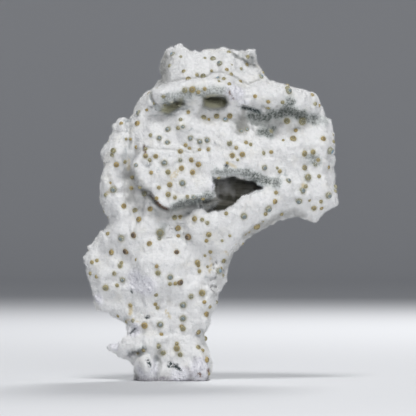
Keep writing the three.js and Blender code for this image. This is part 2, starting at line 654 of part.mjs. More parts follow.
// Points spread over the sides and the back, none of them close to another.
function hiddenPoints(geometry, count) {
  const at = geometry.getAttribute("position");
  const corners = geometry.index.array;
  const chosen = [];
  for (let n = 0; chosen.length < count && n < 20000; n++) {
    const [pick, u, v] = [1, 2, 3].map((k) => 0.5 + 0.5 * cornerValue(n, k, 0));
    const face = 3 * Math.floor((pick * corners.length) / 3);
    const [a, b, c] = [0, 1, 2].map((i) =>
      new THREE.Vector3().fromBufferAttribute(at, corners[face + i]),
    );
    const normal = b.clone().sub(a).cross(c.clone().sub(a)).normalize();
    const point = a.lerp(b, Math.sqrt(u) * (1 - v)).lerp(c, Math.sqrt(u) * v);
    if (normal.y < -0.2 || point.z < 8) continue;
    if (chosen.every((other) => other.distanceTo(point) > BALL_SPACING)) chosen.push(point);
  }
  return chosen;
}

// ---------------------------------------------------------------- the specimen

const fine = relax(surfaceOf(crust, GRID_LOW, GRID_HIGH, CELL), 3);
const net = reduce(fine, CRUST_TRIANGLES);
let specimen = solidFrom(net.positions, net.triangles);

const depthBelow = 30;
const underFoot = new THREE.BoxGeometry(120, 120, depthBelow).translate(0, 0, -depthBelow / 2);
specimen = specimen.subtract(solidOf(underFoot));

const bare = geometryOf(specimen);
for (const [x, z, diameter] of FRONT_BALLS) {
  const point = frontAt(x, z);
  if (point) specimen = specimen.add(ballAt(point, diameter));
}
hiddenPoints(bare, HIDDEN_BALLS).forEach((point, n) => {
  const share = 0.5 + 0.5 * cornerValue(n, 4, 0);
  specimen = specimen.add(ballAt(point, mix(...HIDDEN_BALL_DIAMETER, share)));
});

const mesh = new THREE.Mesh(
  geometryOf(specimen),
  new THREE.MeshStandardMaterial({ color: 0xe9e8e4, roughness: 0.95, metalness: 0 }),
);
mesh.name = "okenite_specimen";

const part = new THREE.Group();
part.add(mesh);
export default part;
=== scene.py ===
# %% [markdown]
# # Okenite with gyrolite balls
#
# The real thing is one thick, folded crust of okenite, a white mineral that grows as a pile of
# very fine needles, with small round gyrolite balls grown into it. This lesson loads the packed
# solid, which says how large everything is and where it lies, and then builds three things over
# it: a fine crust from a mathematical field, the balls, and the needles of the pile.

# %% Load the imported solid
import math

import bmesh
import bpy
import numpy as np
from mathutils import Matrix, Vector


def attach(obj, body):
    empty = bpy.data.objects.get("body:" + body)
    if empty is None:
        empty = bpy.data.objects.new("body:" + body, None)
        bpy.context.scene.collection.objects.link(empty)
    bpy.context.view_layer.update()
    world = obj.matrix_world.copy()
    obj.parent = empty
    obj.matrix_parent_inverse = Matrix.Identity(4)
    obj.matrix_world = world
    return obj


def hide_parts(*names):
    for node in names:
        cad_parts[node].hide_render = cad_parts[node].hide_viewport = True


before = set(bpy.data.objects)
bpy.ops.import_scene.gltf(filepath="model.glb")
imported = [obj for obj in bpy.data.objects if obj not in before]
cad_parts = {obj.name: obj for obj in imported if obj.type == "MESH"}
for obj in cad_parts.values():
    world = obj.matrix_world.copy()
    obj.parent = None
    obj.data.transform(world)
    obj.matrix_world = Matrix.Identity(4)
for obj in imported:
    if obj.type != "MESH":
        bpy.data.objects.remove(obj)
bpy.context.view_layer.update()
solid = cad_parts["okenite_specimen"]
MM = 0.001

# %% [markdown]
# ## The crust's values
#
# A crust like this could be sculpted by hand, scanned, or drawn by a rule. A rule is chosen here:
# each fold, lip and hollow is a short list of points with a radius, all in millimetres, so that a
# fold is moved by changing one number. The first list is the outline seen from the front. The
# second says, for places on the front, how far forward and back the crust reaches there and how
# wide its rounded rim is.

# %% The outline and the depths
OUTLINE = [
    (-18.3, -11), (-19, 8.5), (-21.5, 10.2), (-25, 11), (-28.5, 14.2), (-32.3, 15.8),
    (-29.5, 17.8), (-23.2, 20), (-21, 21.8), (-22.3, 24.5), (-22.8, 28.8), (-27.5, 32.2),
    (-37.2, 35.6), (-38.8, 42), (-40, 47.5), (-42, 55), (-44.5, 61), (-39.5, 67.3),
    (-35.8, 73.8), (-33, 74.4), (-31.9, 76), (-31.6, 81.6), (-34, 85.3), (-35.6, 90.5),
    (-33.8, 98.5), (-33.1, 106), (-33.6, 111), (-34.6, 115.3), (-31.2, 119.6), (-29.2, 122.6),
    (-28.2, 127), (-26, 130), (-23.5, 130.2), (-21, 128.2), (-18.8, 135), (-16.2, 139.3),
    (-12.3, 143.2), (-9.5, 144.3), (-6.8, 146.8), (-5.1, 151), (-4.9, 158), (-3, 162.8),
    (-0.6, 165.9), (4, 167.3), (6, 166.2), (7.2, 164.9), (10.4, 163.2), (14, 163.8),
    (18.5, 164.9), (27.5, 165.8), (31, 164.4), (34.5, 163.2), (38, 164.8), (41, 164),
    (41, 161.2), (40.4, 159.4), (43, 155.8), (45.4, 153.4), (48.7, 148.8), (61, 145.4),
    (70, 142.8), (72.2, 140.2), (74.8, 133.5), (78.6, 129.4), (80.5, 121.7), (81, 110),
    (80.6, 103), (82, 93), (81.8, 88.3), (79, 86), (75.5, 83.3), (71.8, 79.2), (69.5, 79.8),
    (66.5, 80.1), (62, 82.1), (58.5, 81.7), (54.5, 80.6), (50.5, 78.8), (45.5, 76.3), (42, 74.2),
    (37.6, 71), (34, 67.8), (30.5, 63.5), (28.2, 59.2), (26.4, 51), (23.6, 45), (22, 38.5),
    (19.2, 33.2), (18.8, 27.5), (15.7, 23.4), (16.8, 19), (18.8, 12.5), (19.5, 5), (18.5, -11),
]
DEPTHS = [
    (20, 158, -17, 13, 7), (-2, 156, -14, 11, 6), (38, 156, -13, 10, 6), (6, 148, -25, 18, 8),
    (26, 148, -26, 18, 8), (44, 148, -22, 14, 7), (-13, 138, -16, 16, 8), (12, 139, -19, 22, 9),
    (10, 124, -29, 25, 10), (32, 118, -29, 24, 10), (22, 108, -29, 22, 10),
    (-8, 116, -26, 24, 10), (0, 100, -22, 24, 10), (-26, 123, -17, 12, 7),
    (-30, 103, -17, 11, 7), (-20, 99, -14, 15, 8), (-28, 87, -17, 12, 7), (56, 144, -27, 13, 7),
    (54, 130, -15, 15, 8), (70, 130, -14, 11, 7), (43, 124, -22, 20, 8), (59, 115, -22, 14, 8),
    (75, 110, -16, 8, 7), (64, 92, -19, 10, 5), (70, 85, -12, 7, 4), (34, 108, -28, 22, 9),
    (38, 81, -21, 18, 5.5), (30, 94, -21, 21, 9), (26, 72, -22, 17, 6.5), (-6, 78, -19, 21, 10),
    (-6, 58, -23, 22, 11), (21, 57, -17, 16, 7), (-31, 53, -13, 12, 7), (-41, 61, -5, 4, 3.5),
    (-35, 40, -10, 9, 5), (-5, 30, -17, 17, 8), (-1, 10, -17, 17, 6), (-30, 16, -12, -4, 3),
]

# %% [markdown]
# The next lists are rounded rods that become ridges, and rods that are cut away as grooves. Each
# point is x, y, z and the radius there. The flap, the cave at the front and the two recesses are
# outlines on the front, as x and z.

# %% Folds, flap and hollows
BRIM = [
    (-9.5, -21, 140.4, 3.8), (-4, -25, 142.1, 4.6), (6.5, -27, 143.9, 4.8),
    (16.5, -28, 144.6, 4.8), (26.5, -27, 144.3, 4.8), (35, -24, 141.6, 4.4),
]
LEDGE = [
    (36, -23, 140.5, 4), (45, -23.5, 141, 5), (56.5, -23.5, 140.2, 4.8), (63, -20.5, 138.6, 4.6),
    (68, -15, 136.5, 3.4),
]
LEFT_RIDGE = [
    (-24.5, -9, 125.3, 4), (-26.4, -13, 118, 5), (-29.5, -13, 108, 4.5), (-30.5, -11, 98, 3.5),
]
PILLAR = [(10.5, -22, 141, 3.6), (10, -22, 135, 4.4), (7, -23, 129, 5)]
BRIDGE = [(16, -16.5, 77, 7.5), (30, -17, 83, 8.5), (43, -17, 88.5, 8.5), (54, -16.5, 95, 8)]
SPUR = [
    (-30.4, -8, 16.4, 0.9), (-26, -10, 16, 2.7), (-20, -14, 16.4, 3.8), (-12, -16, 18.6, 4.6),
    (-4, -13, 22, 4),
]
FOOT_KNOB = [(-12.5, -15, 8.5, 4.8), (-12.5, -14, 0, 6)]
BACK_FOLD = [(30, 22, 138, 6), (16, 24, 118, 7), (2, 22, 98, 7), (-8, 19, 78, 6)]
BACK_RIB = [(60, 10, 134, 5), (58, 12, 112, 6), (44, 14, 96, 6)]
LEDGE_UNDERCUT = [(36, -26, 133, 2.4), (45, -25, 130.5, 5), (58, -25, 129, 6), (73, -20, 129.5, 5)]
RECESS = [(33.5, -28, 130, 4), (35.5, -29, 124, 4.2)]
FLANK_VALLEY = [
    (-20.5, -19, 118, 1), (-20.5, -20, 113, 2.3), (-19.5, -19, 101, 4.8), (-18.5, -19, 89, 4.5),
]
FLAP_UNDERCUT = [
    (-15, -21, 92, 2.2), (-8, -21, 86, 2.6), (-2, -21, 83, 3), (8, -21, 86, 3.4),
    (17, -21, 88.5, 3),
]
SPUR_UNDERCUT = [
    (-22, -14, 11, 2.2), (-17, -18, 13.3, 2), (-12, -21, 15.2, 1.6), (-7, -21, 15.6, 1.2),
]
FOOT_CREASE = [(-6.5, -19, 14, 1.4), (-5.8, -19.5, 8, 2.2), (-5.5, -19, 1, 1.8)]
CROWN_CREASE = [(28, -17, 165, 1.6), (34, -16, 159, 1.8), (39, -14, 155, 1.5)]
BACK_HOLLOW = [(-12, 26, 118, 5), (-14, 22, 106, 7), (-20, 20, 92, 5)]
BACK_DIP = [(46, 20, 122, 6), (34, 22, 104, 7)]
FOOT_NOTCHES = [
    [(1, -20, -1, 3), (7, -19, -2, 3.5)],
    [(-4, 21, 0, 5), (3, 22, 4, 5)],
]
FLAP = [
    (-13.5, 116), (-17.5, 111), (-19, 108), (-18, 102), (-15.5, 96.5), (-10, 92.5), (-6, 87),
    (-2, 85.5), (3, 88), (10, 90), (20.5, 92.5), (21, 100), (27, 105), (16, 114), (0, 118),
]
HOLLOW = [
    (20.5, 101), (31, 102), (42, 99.5), (45.5, 96.5), (44.5, 94.5), (37, 91.5), (31.5, 87.5),
    (27, 85), (17.5, 83.5), (16.5, 90), (21, 92.5),
]
TONGUE = [(8, -8, 86, 5), (15, -9, 88, 4.4), (20, -8, 89, 2.8)]
LEFT_RECESS = [(-6, 133.5), (-5.5, 136), (-1, 138.5), (5.5, 141), (7, 137.5), (3, 134.5), (-2, 132)]
RIGHT_RECESS = [
    (15, 141.5), (20, 142.6), (27, 141.6), (28.5, 138), (26, 135.4), (20, 134.9), (15.5, 136),
]

# %% Single values
STATION_REACH = 7  # how far each of the depths spreads
FLAP_FRONT = -27.5
FLAP_THICK = 7
FLAP_ROUNDING = 1
HOLLOW_MOUTH = -20  # from here inwards the cave widens,
HOLLOW_SPREAD = 10  # over this length
HOLLOW_WIDER = 4  # and by this much
HOLLOW_BACK = 9
RECESS_BACK = -7  # at the recess's top
RECESS_TOP = 141
RECESS_SLANT = 1.6  # how much shallower it gets for each millimetre down
LUMP_SIZE, LUMP_HEIGHT = 12, 1.25
KNOB_SIZE, KNOB_HEIGHT = 6, 0.8
DENT_SIZE, DENT_DEPTH = 10, 2.6
print("outline points:", len(OUTLINE), "depth stations:", len(DEPTHS))

# %% [markdown]
# ## A field that is zero on the surface
#
# A shape can be written as a function of a point that is about the distance to its surface and
# negative inside. Two shapes are joined by taking the smaller value and cut by taking the larger
# one, and a soft version of both leaves a fillet, as a growing crust does. NumPy works such a
# function out for hundreds of thousands of points at once.

# %% Soft joins and cuts
def clamp(value, low=0.0, high=1.0):
    return np.minimum(np.maximum(value, low), high)


def mix(a, b, share):
    return a + (b - a) * share


def ramp(value, low, high):
    share = clamp((value - low) / (high - low))
    return share * share * (3 - 2 * share)


def join(a, b, blend):
    share = clamp(0.5 + 0.5 * (b - a) / blend)
    return mix(b, a, share) - blend * share * (1 - share)


def cut(a, b, blend):
    return -join(-a, b, blend)


# %% Distances to rods and outlines
def rods(points, x, y, z):
    nearest = np.full(np.shape(x), 1e9)
    for (ax, ay, az, ar), (bx, by, bz, br) in zip(points, points[1:]):
        dx, dy, dz = bx - ax, by - ay, bz - az
        along = (x - ax) * dx + (y - ay) * dy + (z - az) * dz
        t = clamp(along / (dx * dx + dy * dy + dz * dz))
        away = np.sqrt((x - ax - t * dx) ** 2 + (y - ay - t * dy) ** 2 + (z - az - t * dz) ** 2)
        nearest = np.minimum(nearest, away - mix(ar, br, t))
    return nearest


def line_distance(points, x, z):
    nearest = np.full(np.shape(x), 1e9)
    for (ax, az), (bx, bz) in zip(points, points[1:]):
        dx, dz = bx - ax, bz - az
        t = clamp(((x - ax) * dx + (z - az) * dz) / (dx * dx + dz * dz))
        nearest = np.minimum(nearest, np.hypot(x - ax - t * dx, z - az - t * dz))
    return nearest


def outline_distance(outline, x, z):
    inside = np.zeros(np.shape(x), bool)
    for (ax, az), (bx, bz) in zip(outline[-1:] + outline[:-1], outline):
        spans = (az > z) != (bz > z)
        inside ^= spans & (x < ax + (bx - ax) * (z - az) / (bz - az or 1.0))
    away = line_distance(outline + outline[:1], x, z)
    return np.where(inside, -away, away)


# %% [markdown]
# Bumps come from noise: a fixed random number at each corner of a grid, with a smooth blend
# between the corners. Taking the size of such a number instead of the number itself makes round
# hummocks with narrow creases between them, which is how a crust of needles grows.

# %% Noise
def corner_value(i, j, k):
    wave = np.sin(i * 12.9898 + j * 78.233 + k * 37.719) * 43758.5453
    return 2 * (wave - np.floor(wave)) - 1


def noise(x, y, z):
    i, j, k = np.floor(x), np.floor(y), np.floor(z)
    u, v, w = [t * t * t * (t * (6 * t - 15) + 10) for t in (x - i, y - j, z - k)]

    def row(dj, dk):
        return mix(corner_value(i, j + dj, k + dk), corner_value(i + 1, j + dj, k + dk), u)

    return mix(mix(row(0, 0), row(1, 0), v), mix(row(0, 1), row(1, 1), v), w)


def hummocks(x, y, z, size):
    """Humps between creases; the 0.01 rounds the creases, the 0.5 keeps the mean near zero."""
    return 2 * np.sqrt(noise(x / size, y / size, z / size) ** 2 + 0.01) - 0.5


# %% [markdown]
# ## Creases and laps
#
# Thin laps of the crust end along lines on its front, and narrow cracks run beside them. Each line
# is drawn as x and z, with how wide the crease is, how deep, and how far the side below the line
# stands in front of the side above it. A negative depth makes a soft crest. Some cracks hold a
# dark green mineral, some rust.

# %% Lines on the front
CROWN_LAP = [
    (-6.7, 147), (2.9, 149.4), (8.8, 150.2), (16.9, 151), (20.1, 153.2), (24.4, 153.5),
    (30.8, 151.4), (34.5, 149.2), (37.8, 147.6), (43.6, 149.8),
]
CROWN_SPLIT = [(28.7, 164.6), (31.9, 161.4), (35.6, 159.6), (37.8, 158), (42, 157)]
FLAP_EDGE = [
    (-13.6, 114.8), (-13.2, 115.6), (-11.4, 116), (-6.3, 115.4), (-0.6, 115.1), (5.2, 114.4),
    (9.6, 113.3), (13.9, 114.4),
]
LAP_REACH = 5  # how far from its line a lap's step is down to a third
CREASES = [  # points, width, depth, step
    (CROWN_LAP, 0.9, 0.9, 1.3),
    (CROWN_SPLIT, 0.9, 1.1, -0.7),
    (FLAP_EDGE, 0.7, 0.7, 1.0),
    ([(-21.5, 134), (-20.5, 126), (-21, 116)], 1.8, 0.9, 0),
    ([(-10.8, 142.5), (-9.6, 139.5), (-8, 137), (-6, 135.5)], 0.8, 1.3, 0.5),
    ([(56, 113.5), (60, 115), (64, 116), (70, 115)], 1.3, 0.6, 0.5),
    ([(46, 104), (56, 110), (66, 113)], 1.5, 0.5, 0.4),
    ([(52, 99), (60, 103), (70, 105)], 1.4, 0.5, 0.4),
    ([(50, 91), (60, 96), (72, 97)], 1.6, 0.5, 0.3),
    ([(38, 78), (46, 85), (54, 88), (64, 88)], 1.6, 0.5, 0),
    ([(-38, 66), (-30, 62), (-22, 61), (-12, 64), (0, 62)], 1.8, 0.6, 0.4),
    ([(-34, 50), (-24, 49), (-14, 52)], 1.6, 0.6, 0.4),
    ([(-6, 40), (4, 38), (14, 41), (20, 46)], 1.6, 0.6, 0.4),
    ([(0, 74), (8, 70), (12, 60), (20, 54)], 1.6, 0.5, 0),
    ([(-20, 26), (-10, 23), (2, 24), (12, 22)], 1.5, 0.7, 0.5),
    ([(-8, 12), (-8.5, 6), (-7.5, 0)], 0.9, 1.2, 0),
    ([(9, 12), (11, 6), (10, 0)], 0.9, 1.0, 0),
    ([(-27, 47), (-18.5, 45), (-11, 45.5), (0.5, 50)], 2.8, -0.7, 0),
    ([(-36, 57), (-30, 54), (-25, 55)], 2.5, -0.6, 0),
    ([(57.5, 121), (69, 126), (78.3, 124)], 2.5, -0.6, 0),
    ([(55, 115.5), (65, 118.5), (75.5, 117.5)], 2.2, -0.6, 0),
    ([(2, 44), (8, 46), (12, 47)], 2.6, -0.5, 0),
]
GREEN_CRACKS = [
    ([(35.3, 136.2), (38.5, 135.3), (43.3, 133.9)], 0.9, 1.8, 0),
    ([(-0.8, 9.1), (1.2, 7.4), (4.4, 5.8)], 0.9, 0.7, 0),
    ([(-1.6, 7.3), (0.8, 7.4)], 0.8, 0.7, 0),
    ([(2.6, 8.0), (2.9, 6.4)], 0.7, 0.7, 0),
    ([(-11.8, 10.5), (-10.8, 8)], 0.8, 0.8, 0),
    ([(-12.6, 31.4), (-11.6, 32)], 0.8, 0.8, 0),
    ([(-18, 26.3), (-20.5, 23.8)], 0.45, 0.7, 0),
    ([(26.8, 106.9), (27.2, 106.7)], 0.9, 1.4, 0),
    ([(20.6, 101), (20.9, 98.4)], 0.5, 0.6, 0),
    ([(-20, 44.6), (-19.6, 44)], 0.6, 0.6, 0),
]
RUSTY_CRACKS = [
    ([(-10, 92.6), (-8.4, 90), (-5, 86.6), (-2, 85.6)], 0.8, 1.0, 0),
    ([(-13.6, 116.4), (-13.2, 113)], 0.7, 0.7, 0),
    ([(28.6, 143.4), (29.2, 141.4)], 0.5, 0.4, 0),
    ([(30.5, 140.2), (31.2, 139.8)], 0.4, 0.4, 0),
    ([(18.2, 5.5), (18.6, 2.8)], 0.9, 0.3, 0),
    ([(13.6, 3.6), (14.4, 2.8)], 0.9, 0.3, 0),
]


def line_sides(points, x, z):
    """How far the line is, and how far above it a point is, if the line runs to the right."""
    nearest, above = np.full(np.shape(x), 1e9), np.zeros(np.shape(x))
    for (ax, az), (bx, bz) in zip(points, points[1:]):
        dx, dz = bx - ax, bz - az
        t = clamp(((x - ax) * dx + (z - az) * dz) / (dx * dx + dz * dz))
        away = np.hypot(x - ax - t * dx, z - az - t * dz)
        over = (dx * (z - az) - dz * (x - ax)) / math.hypot(dx, dz)
        above = np.where(away < nearest, over, above)
        nearest = np.minimum(nearest, away)
    return nearest, above


def creases_at(x, z):
    relief = 0.0
    for points, width, depth, step in CREASES + GREEN_CRACKS + RUSTY_CRACKS:
        away, above = line_sides(points, x, z)
        relief = relief - depth * np.exp(-((away / width) ** 2))
        rise = step / 2 * clamp(above / width, -1, 1) * np.exp(-((away / LAP_REACH) ** 2))
        relief = relief - rise
    return relief


def marked(lines, x, y, z):
    """One on the lines at the front, falling to nothing beside them."""
    nearest = np.min([line_distance(line[0], x, z) / line[1] for line in lines], axis=0)
    return (1 - ramp(nearest, 0.3, 1.5)) * ramp(-y, 2, 8)


# %% [markdown]
# ## The body of the crust
#
# What depends on x and z alone is worked out once for each line from front to back: the front and
# the back surface, and the distances to the outlines.

# %% Values along the lines from front to back
def depths_at(x, z):
    total, sums = 0.0, [0.0, 0.0, 0.0]
    for sx, sz, *values in DEPTHS:
        weight = 1 / ((x - sx) ** 2 + (z - sz) ** 2 + STATION_REACH**2) ** 2
        total = total + weight
        sums = [held + weight * value for held, value in zip(sums, values)]
    return [held / total for held in sums]


def plane_at(x, z):
    front, back, edge = depths_at(x, z)
    recess = np.minimum(*[outline_distance(o, x, z) for o in (LEFT_RECESS, RIGHT_RECESS)])
    return {
        "front": front, "back": back, "edge": edge, "recess": recess,
        "creases": creases_at(x, z),
        "outline": outline_distance(OUTLINE, x, z),
        "flap": outline_distance(FLAP, x, z),
        "hollow": outline_distance(HOLLOW, x, z),
    }


# %% The body, the flap and the hollows
def body(y, p):
    half = (p["back"] - p["front"]) / 2
    inwards = np.maximum(0, 1 + p["outline"] / p["edge"])
    outwards = np.abs(y - (p["front"] + p["back"]) / 2) / half
    around = np.maximum(np.hypot(inwards, outwards), 1e-6)
    scale = (p["edge"] * inwards**2 + half * outwards**2) / around**2
    return (around - 1) * np.where(around > 1e-6, scale, half)


def flap(y, p):
    across = p["flap"]
    through = np.abs(y - FLAP_FRONT - FLAP_THICK / 2) - FLAP_THICK / 2
    beyond = [np.maximum(distance + FLAP_ROUNDING, 0) for distance in (across, through)]
    within = np.minimum(np.maximum(across, through) + FLAP_ROUNDING, 0)
    return np.hypot(*beyond) + within - FLAP_ROUNDING


def hollow(y, p):
    wider = HOLLOW_WIDER * ramp(y, HOLLOW_MOUTH, HOLLOW_MOUTH + HOLLOW_SPREAD)
    return np.maximum(p["hollow"] - wider, y - HOLLOW_BACK)


def recesses(y, z, p):
    behind = y - RECESS_BACK + RECESS_SLANT * (RECESS_TOP - z)
    return np.maximum(p["recess"], behind / math.hypot(1, RECESS_SLANT))


def swelling(x, y, z, p):
    """Broad lumps and dents. The numbers added to x, y and z only pick other noise."""
    from_middle = np.abs(2 * y - p["front"] - p["back"]) / (p["back"] - p["front"])
    share = np.maximum(ramp(-p["outline"], 0.5, 6), ramp(from_middle, 0.15, 0.7))
    lump = noise(x / LUMP_SIZE + 11, y / LUMP_SIZE, z / LUMP_SIZE)
    knob = noise(x / KNOB_SIZE + 7, y / KNOB_SIZE, z / KNOB_SIZE)
    dent = noise(x / DENT_SIZE + 5, y / DENT_SIZE + 5, z / DENT_SIZE + 5)
    rim = ramp(from_middle, 0.1, 0.6) * (1 - ramp(-p["outline"], 4, 12))
    swell = (LUMP_HEIGHT * lump + KNOB_HEIGHT * knob) * share
    return swell - DENT_DEPTH * np.maximum(0, dent) * rim


# %% [markdown]
# All the forms go together in the order in which they lie on each other, so a later cut goes
# through an earlier ridge.

# %% The whole crust, smooth
def smooth_crust(x, y, z, p):
    f = body(y, p)
    for ridge, blend in ((BRIDGE, 5), (BACK_FOLD, 8), (BACK_RIB, 8), (LEFT_RIDGE, 4)):
        f = join(f, rods(ridge, x, y, z), blend)
    grooves = (FLANK_VALLEY, 5), (LEDGE_UNDERCUT, 5), (RECESS, 3), (BACK_HOLLOW, 6), (BACK_DIP, 8)
    for groove, blend in grooves:
        f = cut(f, rods(groove, x, y, z), blend)
    for ridge in (BRIM, LEDGE, PILLAR):
        f = join(f, rods(ridge, x, y, z), 4)
    f = cut(f, recesses(y, z, p), 1.5)
    f = join(f, flap(y, p), 0.8)
    f = cut(f, rods(FLAP_UNDERCUT, x, y, z), 1.5)
    f = join(f, rods(SPUR, x, y, z), 4)
    f = join(f, rods(FOOT_KNOB, x, y, z), 2)
    for groove, blend in ((SPUR_UNDERCUT, 1.5), (FOOT_CREASE, 2), (CROWN_CREASE, 2)):
        f = cut(f, rods(groove, x, y, z), blend)
    for notch in FOOT_NOTCHES:
        f = cut(f, rods(notch, x, y, z), 1.5)
    f = cut(f, hollow(y, p), 2)
    f = join(f, rods(TONGUE, x, y, z), 2)
    return f - swelling(x, y, z, p)


# %% [markdown]
# ## Fine relief
#
# Up close the crust is hummocky, its rim is ragged, and where it was knocked it is broken and
# granular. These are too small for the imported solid, so they are added here: the hummocks
# everywhere, the creases and a few round knobs on the front, teeth along the rim, which are
# higher on the crown, and grit in a few round patches.

# %% Where the crust is broken
BREAKS = [  # round patches: x, y, z and radius
    (31, -29, 143.5, 5.5), (36, -28, 136.5, 3.5), (-19, -18, 49.5, 6.5), (-12.5, -20, 47.5, 6),
    (-12, -16, 6, 6), (15, -16, 6, 6.5), (4, -18, 3, 5), (-11.5, -22, 33, 4), (-19, -14, 26, 4.5),
    (-38, -8, 40, 4), (20, -26, 97, 2.5), (-28, -10, 18, 3.5),
]


def broken_at(x, y, z):
    broken = 0.0
    for bx, by, bz, radius in BREAKS:
        away = np.sqrt((x - bx) ** 2 + (y - by) ** 2 + (z - bz) ** 2)
        broken = np.maximum(broken, 1 - ramp(away, 0.6 * radius, 1.2 * radius))
    return broken


# %% Knobs
KNOBS = [  # x, z, radius and height on the front
    (-9.2, 126.3, 3.0, 1.3), (-14.5, 9, 4.2, 1.6), (14.5, 5, 3.0, 1.0), (3, 3.5, 5.0, 0.8),
    (-12, 58, 5.0, 0.9), (4, 42, 5.5, 0.9), (24, 126, 4.5, 0.9), (60, 112, 6.0, 0.9),
]


def knobs_at(x, y, z):
    height = 0.0
    for kx, kz, radius, most in KNOBS:
        height = height + most * np.exp(-(((x - kx) ** 2 + (z - kz) ** 2) / radius**2) ** 2)
    return height * ramp(-y, 0, 6)


# %% Hummocks, teeth and grit
HUMMOCKS = [  # size, height and a shift that picks other noise
    (7.5, 0.6, (3, 0, 0)), (4.2, 0.55, (0, 5, 0)), (2.2, 0.36, (0, 0, 7)),
]
TEETH_HEIGHT = 0.6
CROWN_TEETH = 0.5  # this much higher on the crown
TEETH_WIDTH, TEETH_LENGTH = 2.3, 5  # they run from front to back
FINE_GRIT, COARSE_GRIT = 1.6, 3.1


def fine_relief(x, y, z, p):
    relief = 0.0
    for size, height, (right, back, up) in HUMMOCKS:
        relief = relief + height * hummocks(x + right, y + back, z + up, size)
    rim = np.exp(-(((p["outline"] + 1) / 3.5) ** 2))
    teeth = noise(x / TEETH_WIDTH, y / TEETH_LENGTH, z / TEETH_WIDTH + 3)
    teeth = (TEETH_HEIGHT + CROWN_TEETH * ramp(z, 140, 155)) * teeth * rim
    inside = ramp(-p["outline"], 0.0, 2.5) * ramp(-y, 3, 9)
    grit = 0.7 * noise(x / FINE_GRIT, y / FINE_GRIT, z / FINE_GRIT)
    grit = grit + 1.4 * noise(x / COARSE_GRIT + 9, y / COARSE_GRIT, z / COARSE_GRIT)
    rough = 0.6 * broken_at(x, y, z) * grit
    return relief + knobs_at(x, y, z) + teeth + inside * p["creases"] + rough


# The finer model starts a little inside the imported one, to make up for its bumps.
INSET = 0.35


def crust(x, y, z, p):
    f = smooth_crust(x, y, z, p)
    f = f + INSET - fine_relief(x, y, z, p)
    return np.maximum(f, -z)  # it ends on the flat cut that it stands on


# %% [markdown]
# ## From the field to a mesh
#
# The field is read on a grid, but only near the surface: a coarse grid finds which blocks the
# surface passes through. In each grid cell that it crosses goes one vertex, at the middle of the
# crossings of the cell's edges, and across each crossed grid edge goes one quad. This is called
# surface nets, and it gives rounder meshes than marching cubes.

# %% Read the field near the surface
STEP = 0.92  # of the grid, in mm
COARSE = 4  # grid steps in a block
NEAR = 1.2  # a block is read finely if the field at a corner is under this many block widths
FAR = 10.0  # the field in the grid's last layer, which is far outside
GRID_LOW = np.array([-50.0, -42.0, -4.0])
GRID_HIGH = np.array([90.0, 42.0, 174.0])


def read_field(field):
    blocks = np.ceil((GRID_HIGH - GRID_LOW) / STEP / COARSE).astype(int)
    nx, ny, nz = blocks * COARSE + 1
    xs, ys, zs = [GRID_LOW[a] + STEP * np.arange(n) for a, n in enumerate((nx, ny, nz))]
    x, z = np.meshgrid(xs[::COARSE], zs[::COARSE], indexing="ij")
    plane = {name: value[:, None, :] for name, value in plane_at(x, z).items()}
    corners = np.broadcast_arrays(x[:, None, :], ys[None, ::COARSE, None], z[:, None, :])
    rough = field(*corners, plane)
    size = np.abs(rough)
    for axis in range(3):
        low = size.take(range(size.shape[axis] - 1), axis)
        size = np.minimum(low, size.take(range(1, size.shape[axis]), axis))
    near = size < NEAR * STEP * COARSE
    values = np.full((nx, ny, nz), FAR)
    wanted = np.zeros((nx, ny, nz), bool)

    def finer(block):
        for axis in range(3):
            block = np.repeat(block, COARSE, axis)
        return block

    values[:-1, :-1, :-1] = finer(rough[:-1, :-1, :-1])
    wanted[:-1, :-1, :-1] = finer(near)
    for axis in range(3):
        wanted |= np.roll(wanted, 1, axis)
    i, j, k = np.nonzero(wanted)
    x, z = np.meshgrid(xs, zs, indexing="ij")
    plane = {name: value[i, k] for name, value in plane_at(x, z).items()}
    values[i, j, k] = field(xs[i], ys[j], zs[k], plane)
    return values


# %% [markdown]
# A grid cell can be crossed in two places at once, and then the one vertex would tie two sheets
# together. Such a cell is made simple by pushing the surface past its nearest corner.

# %% Make every cell simple
FACE = ((0, 0), (1, 0), (1, 1), (0, 1))  # the corners of a cell's side, one after the other
PUSH = 0.02  # how far past a corner the surface is pushed
ROUNDS = 30  # at most


def is_simple(code):
    """Whether a cell with this pattern of inner corners is crossed in one place only."""
    bits = [(code >> corner) & 1 for corner in range(8)]
    for axis in range(3):
        p, q = (axis + 1) % 3, (axis + 2) % 3
        for end in (0, 1):
            a, b, c, d = [bits[end << axis | u << p | v << q] for u, v in FACE]
            if a == c and b == d and a != b:
                return False
    root = list(range(8))

    def find(corner):
        return corner if root[corner] == corner else find(root[corner])

    for corner in range(8):
        for axis in range(3):
            other = corner ^ (1 << axis)
            if bits[corner] == bits[other]:
                root[find(corner)] = find(other)
    return len({find(corner) for corner in range(8)}) <= 2


SIMPLE = np.array([is_simple(code) for code in range(256)])
CORNERS = [(c & 1, c >> 1 & 1, c >> 2 & 1) for c in range(8)]


def cell_codes(values):
    codes = np.zeros([n - 1 for n in values.shape], int)
    for corner, steps in enumerate(CORNERS):
        part = tuple(slice(s, n - 1 + s) for s, n in zip(steps, values.shape))
        codes |= (values[part] < 0).astype(int) << corner
    return codes


def make_simple(values):
    pushed = set()
    for _ in range(ROUNDS):
        for cell in np.argwhere(~SIMPLE[cell_codes(values)]):
            around = [tuple(cell + steps) for steps in CORNERS]
            free = [corner for corner in around if corner not in pushed]
            if free:
                near = min(free, key=lambda corner: abs(values[corner]))
                values[near] = -PUSH if values[near] >= 0 else PUSH
                pushed.add(near)
    return len(pushed)


# %% Surface nets
def edge_ends(values, axis):
    n = values.shape[axis]
    return values.take(range(n - 1), axis), values.take(range(1, n), axis)


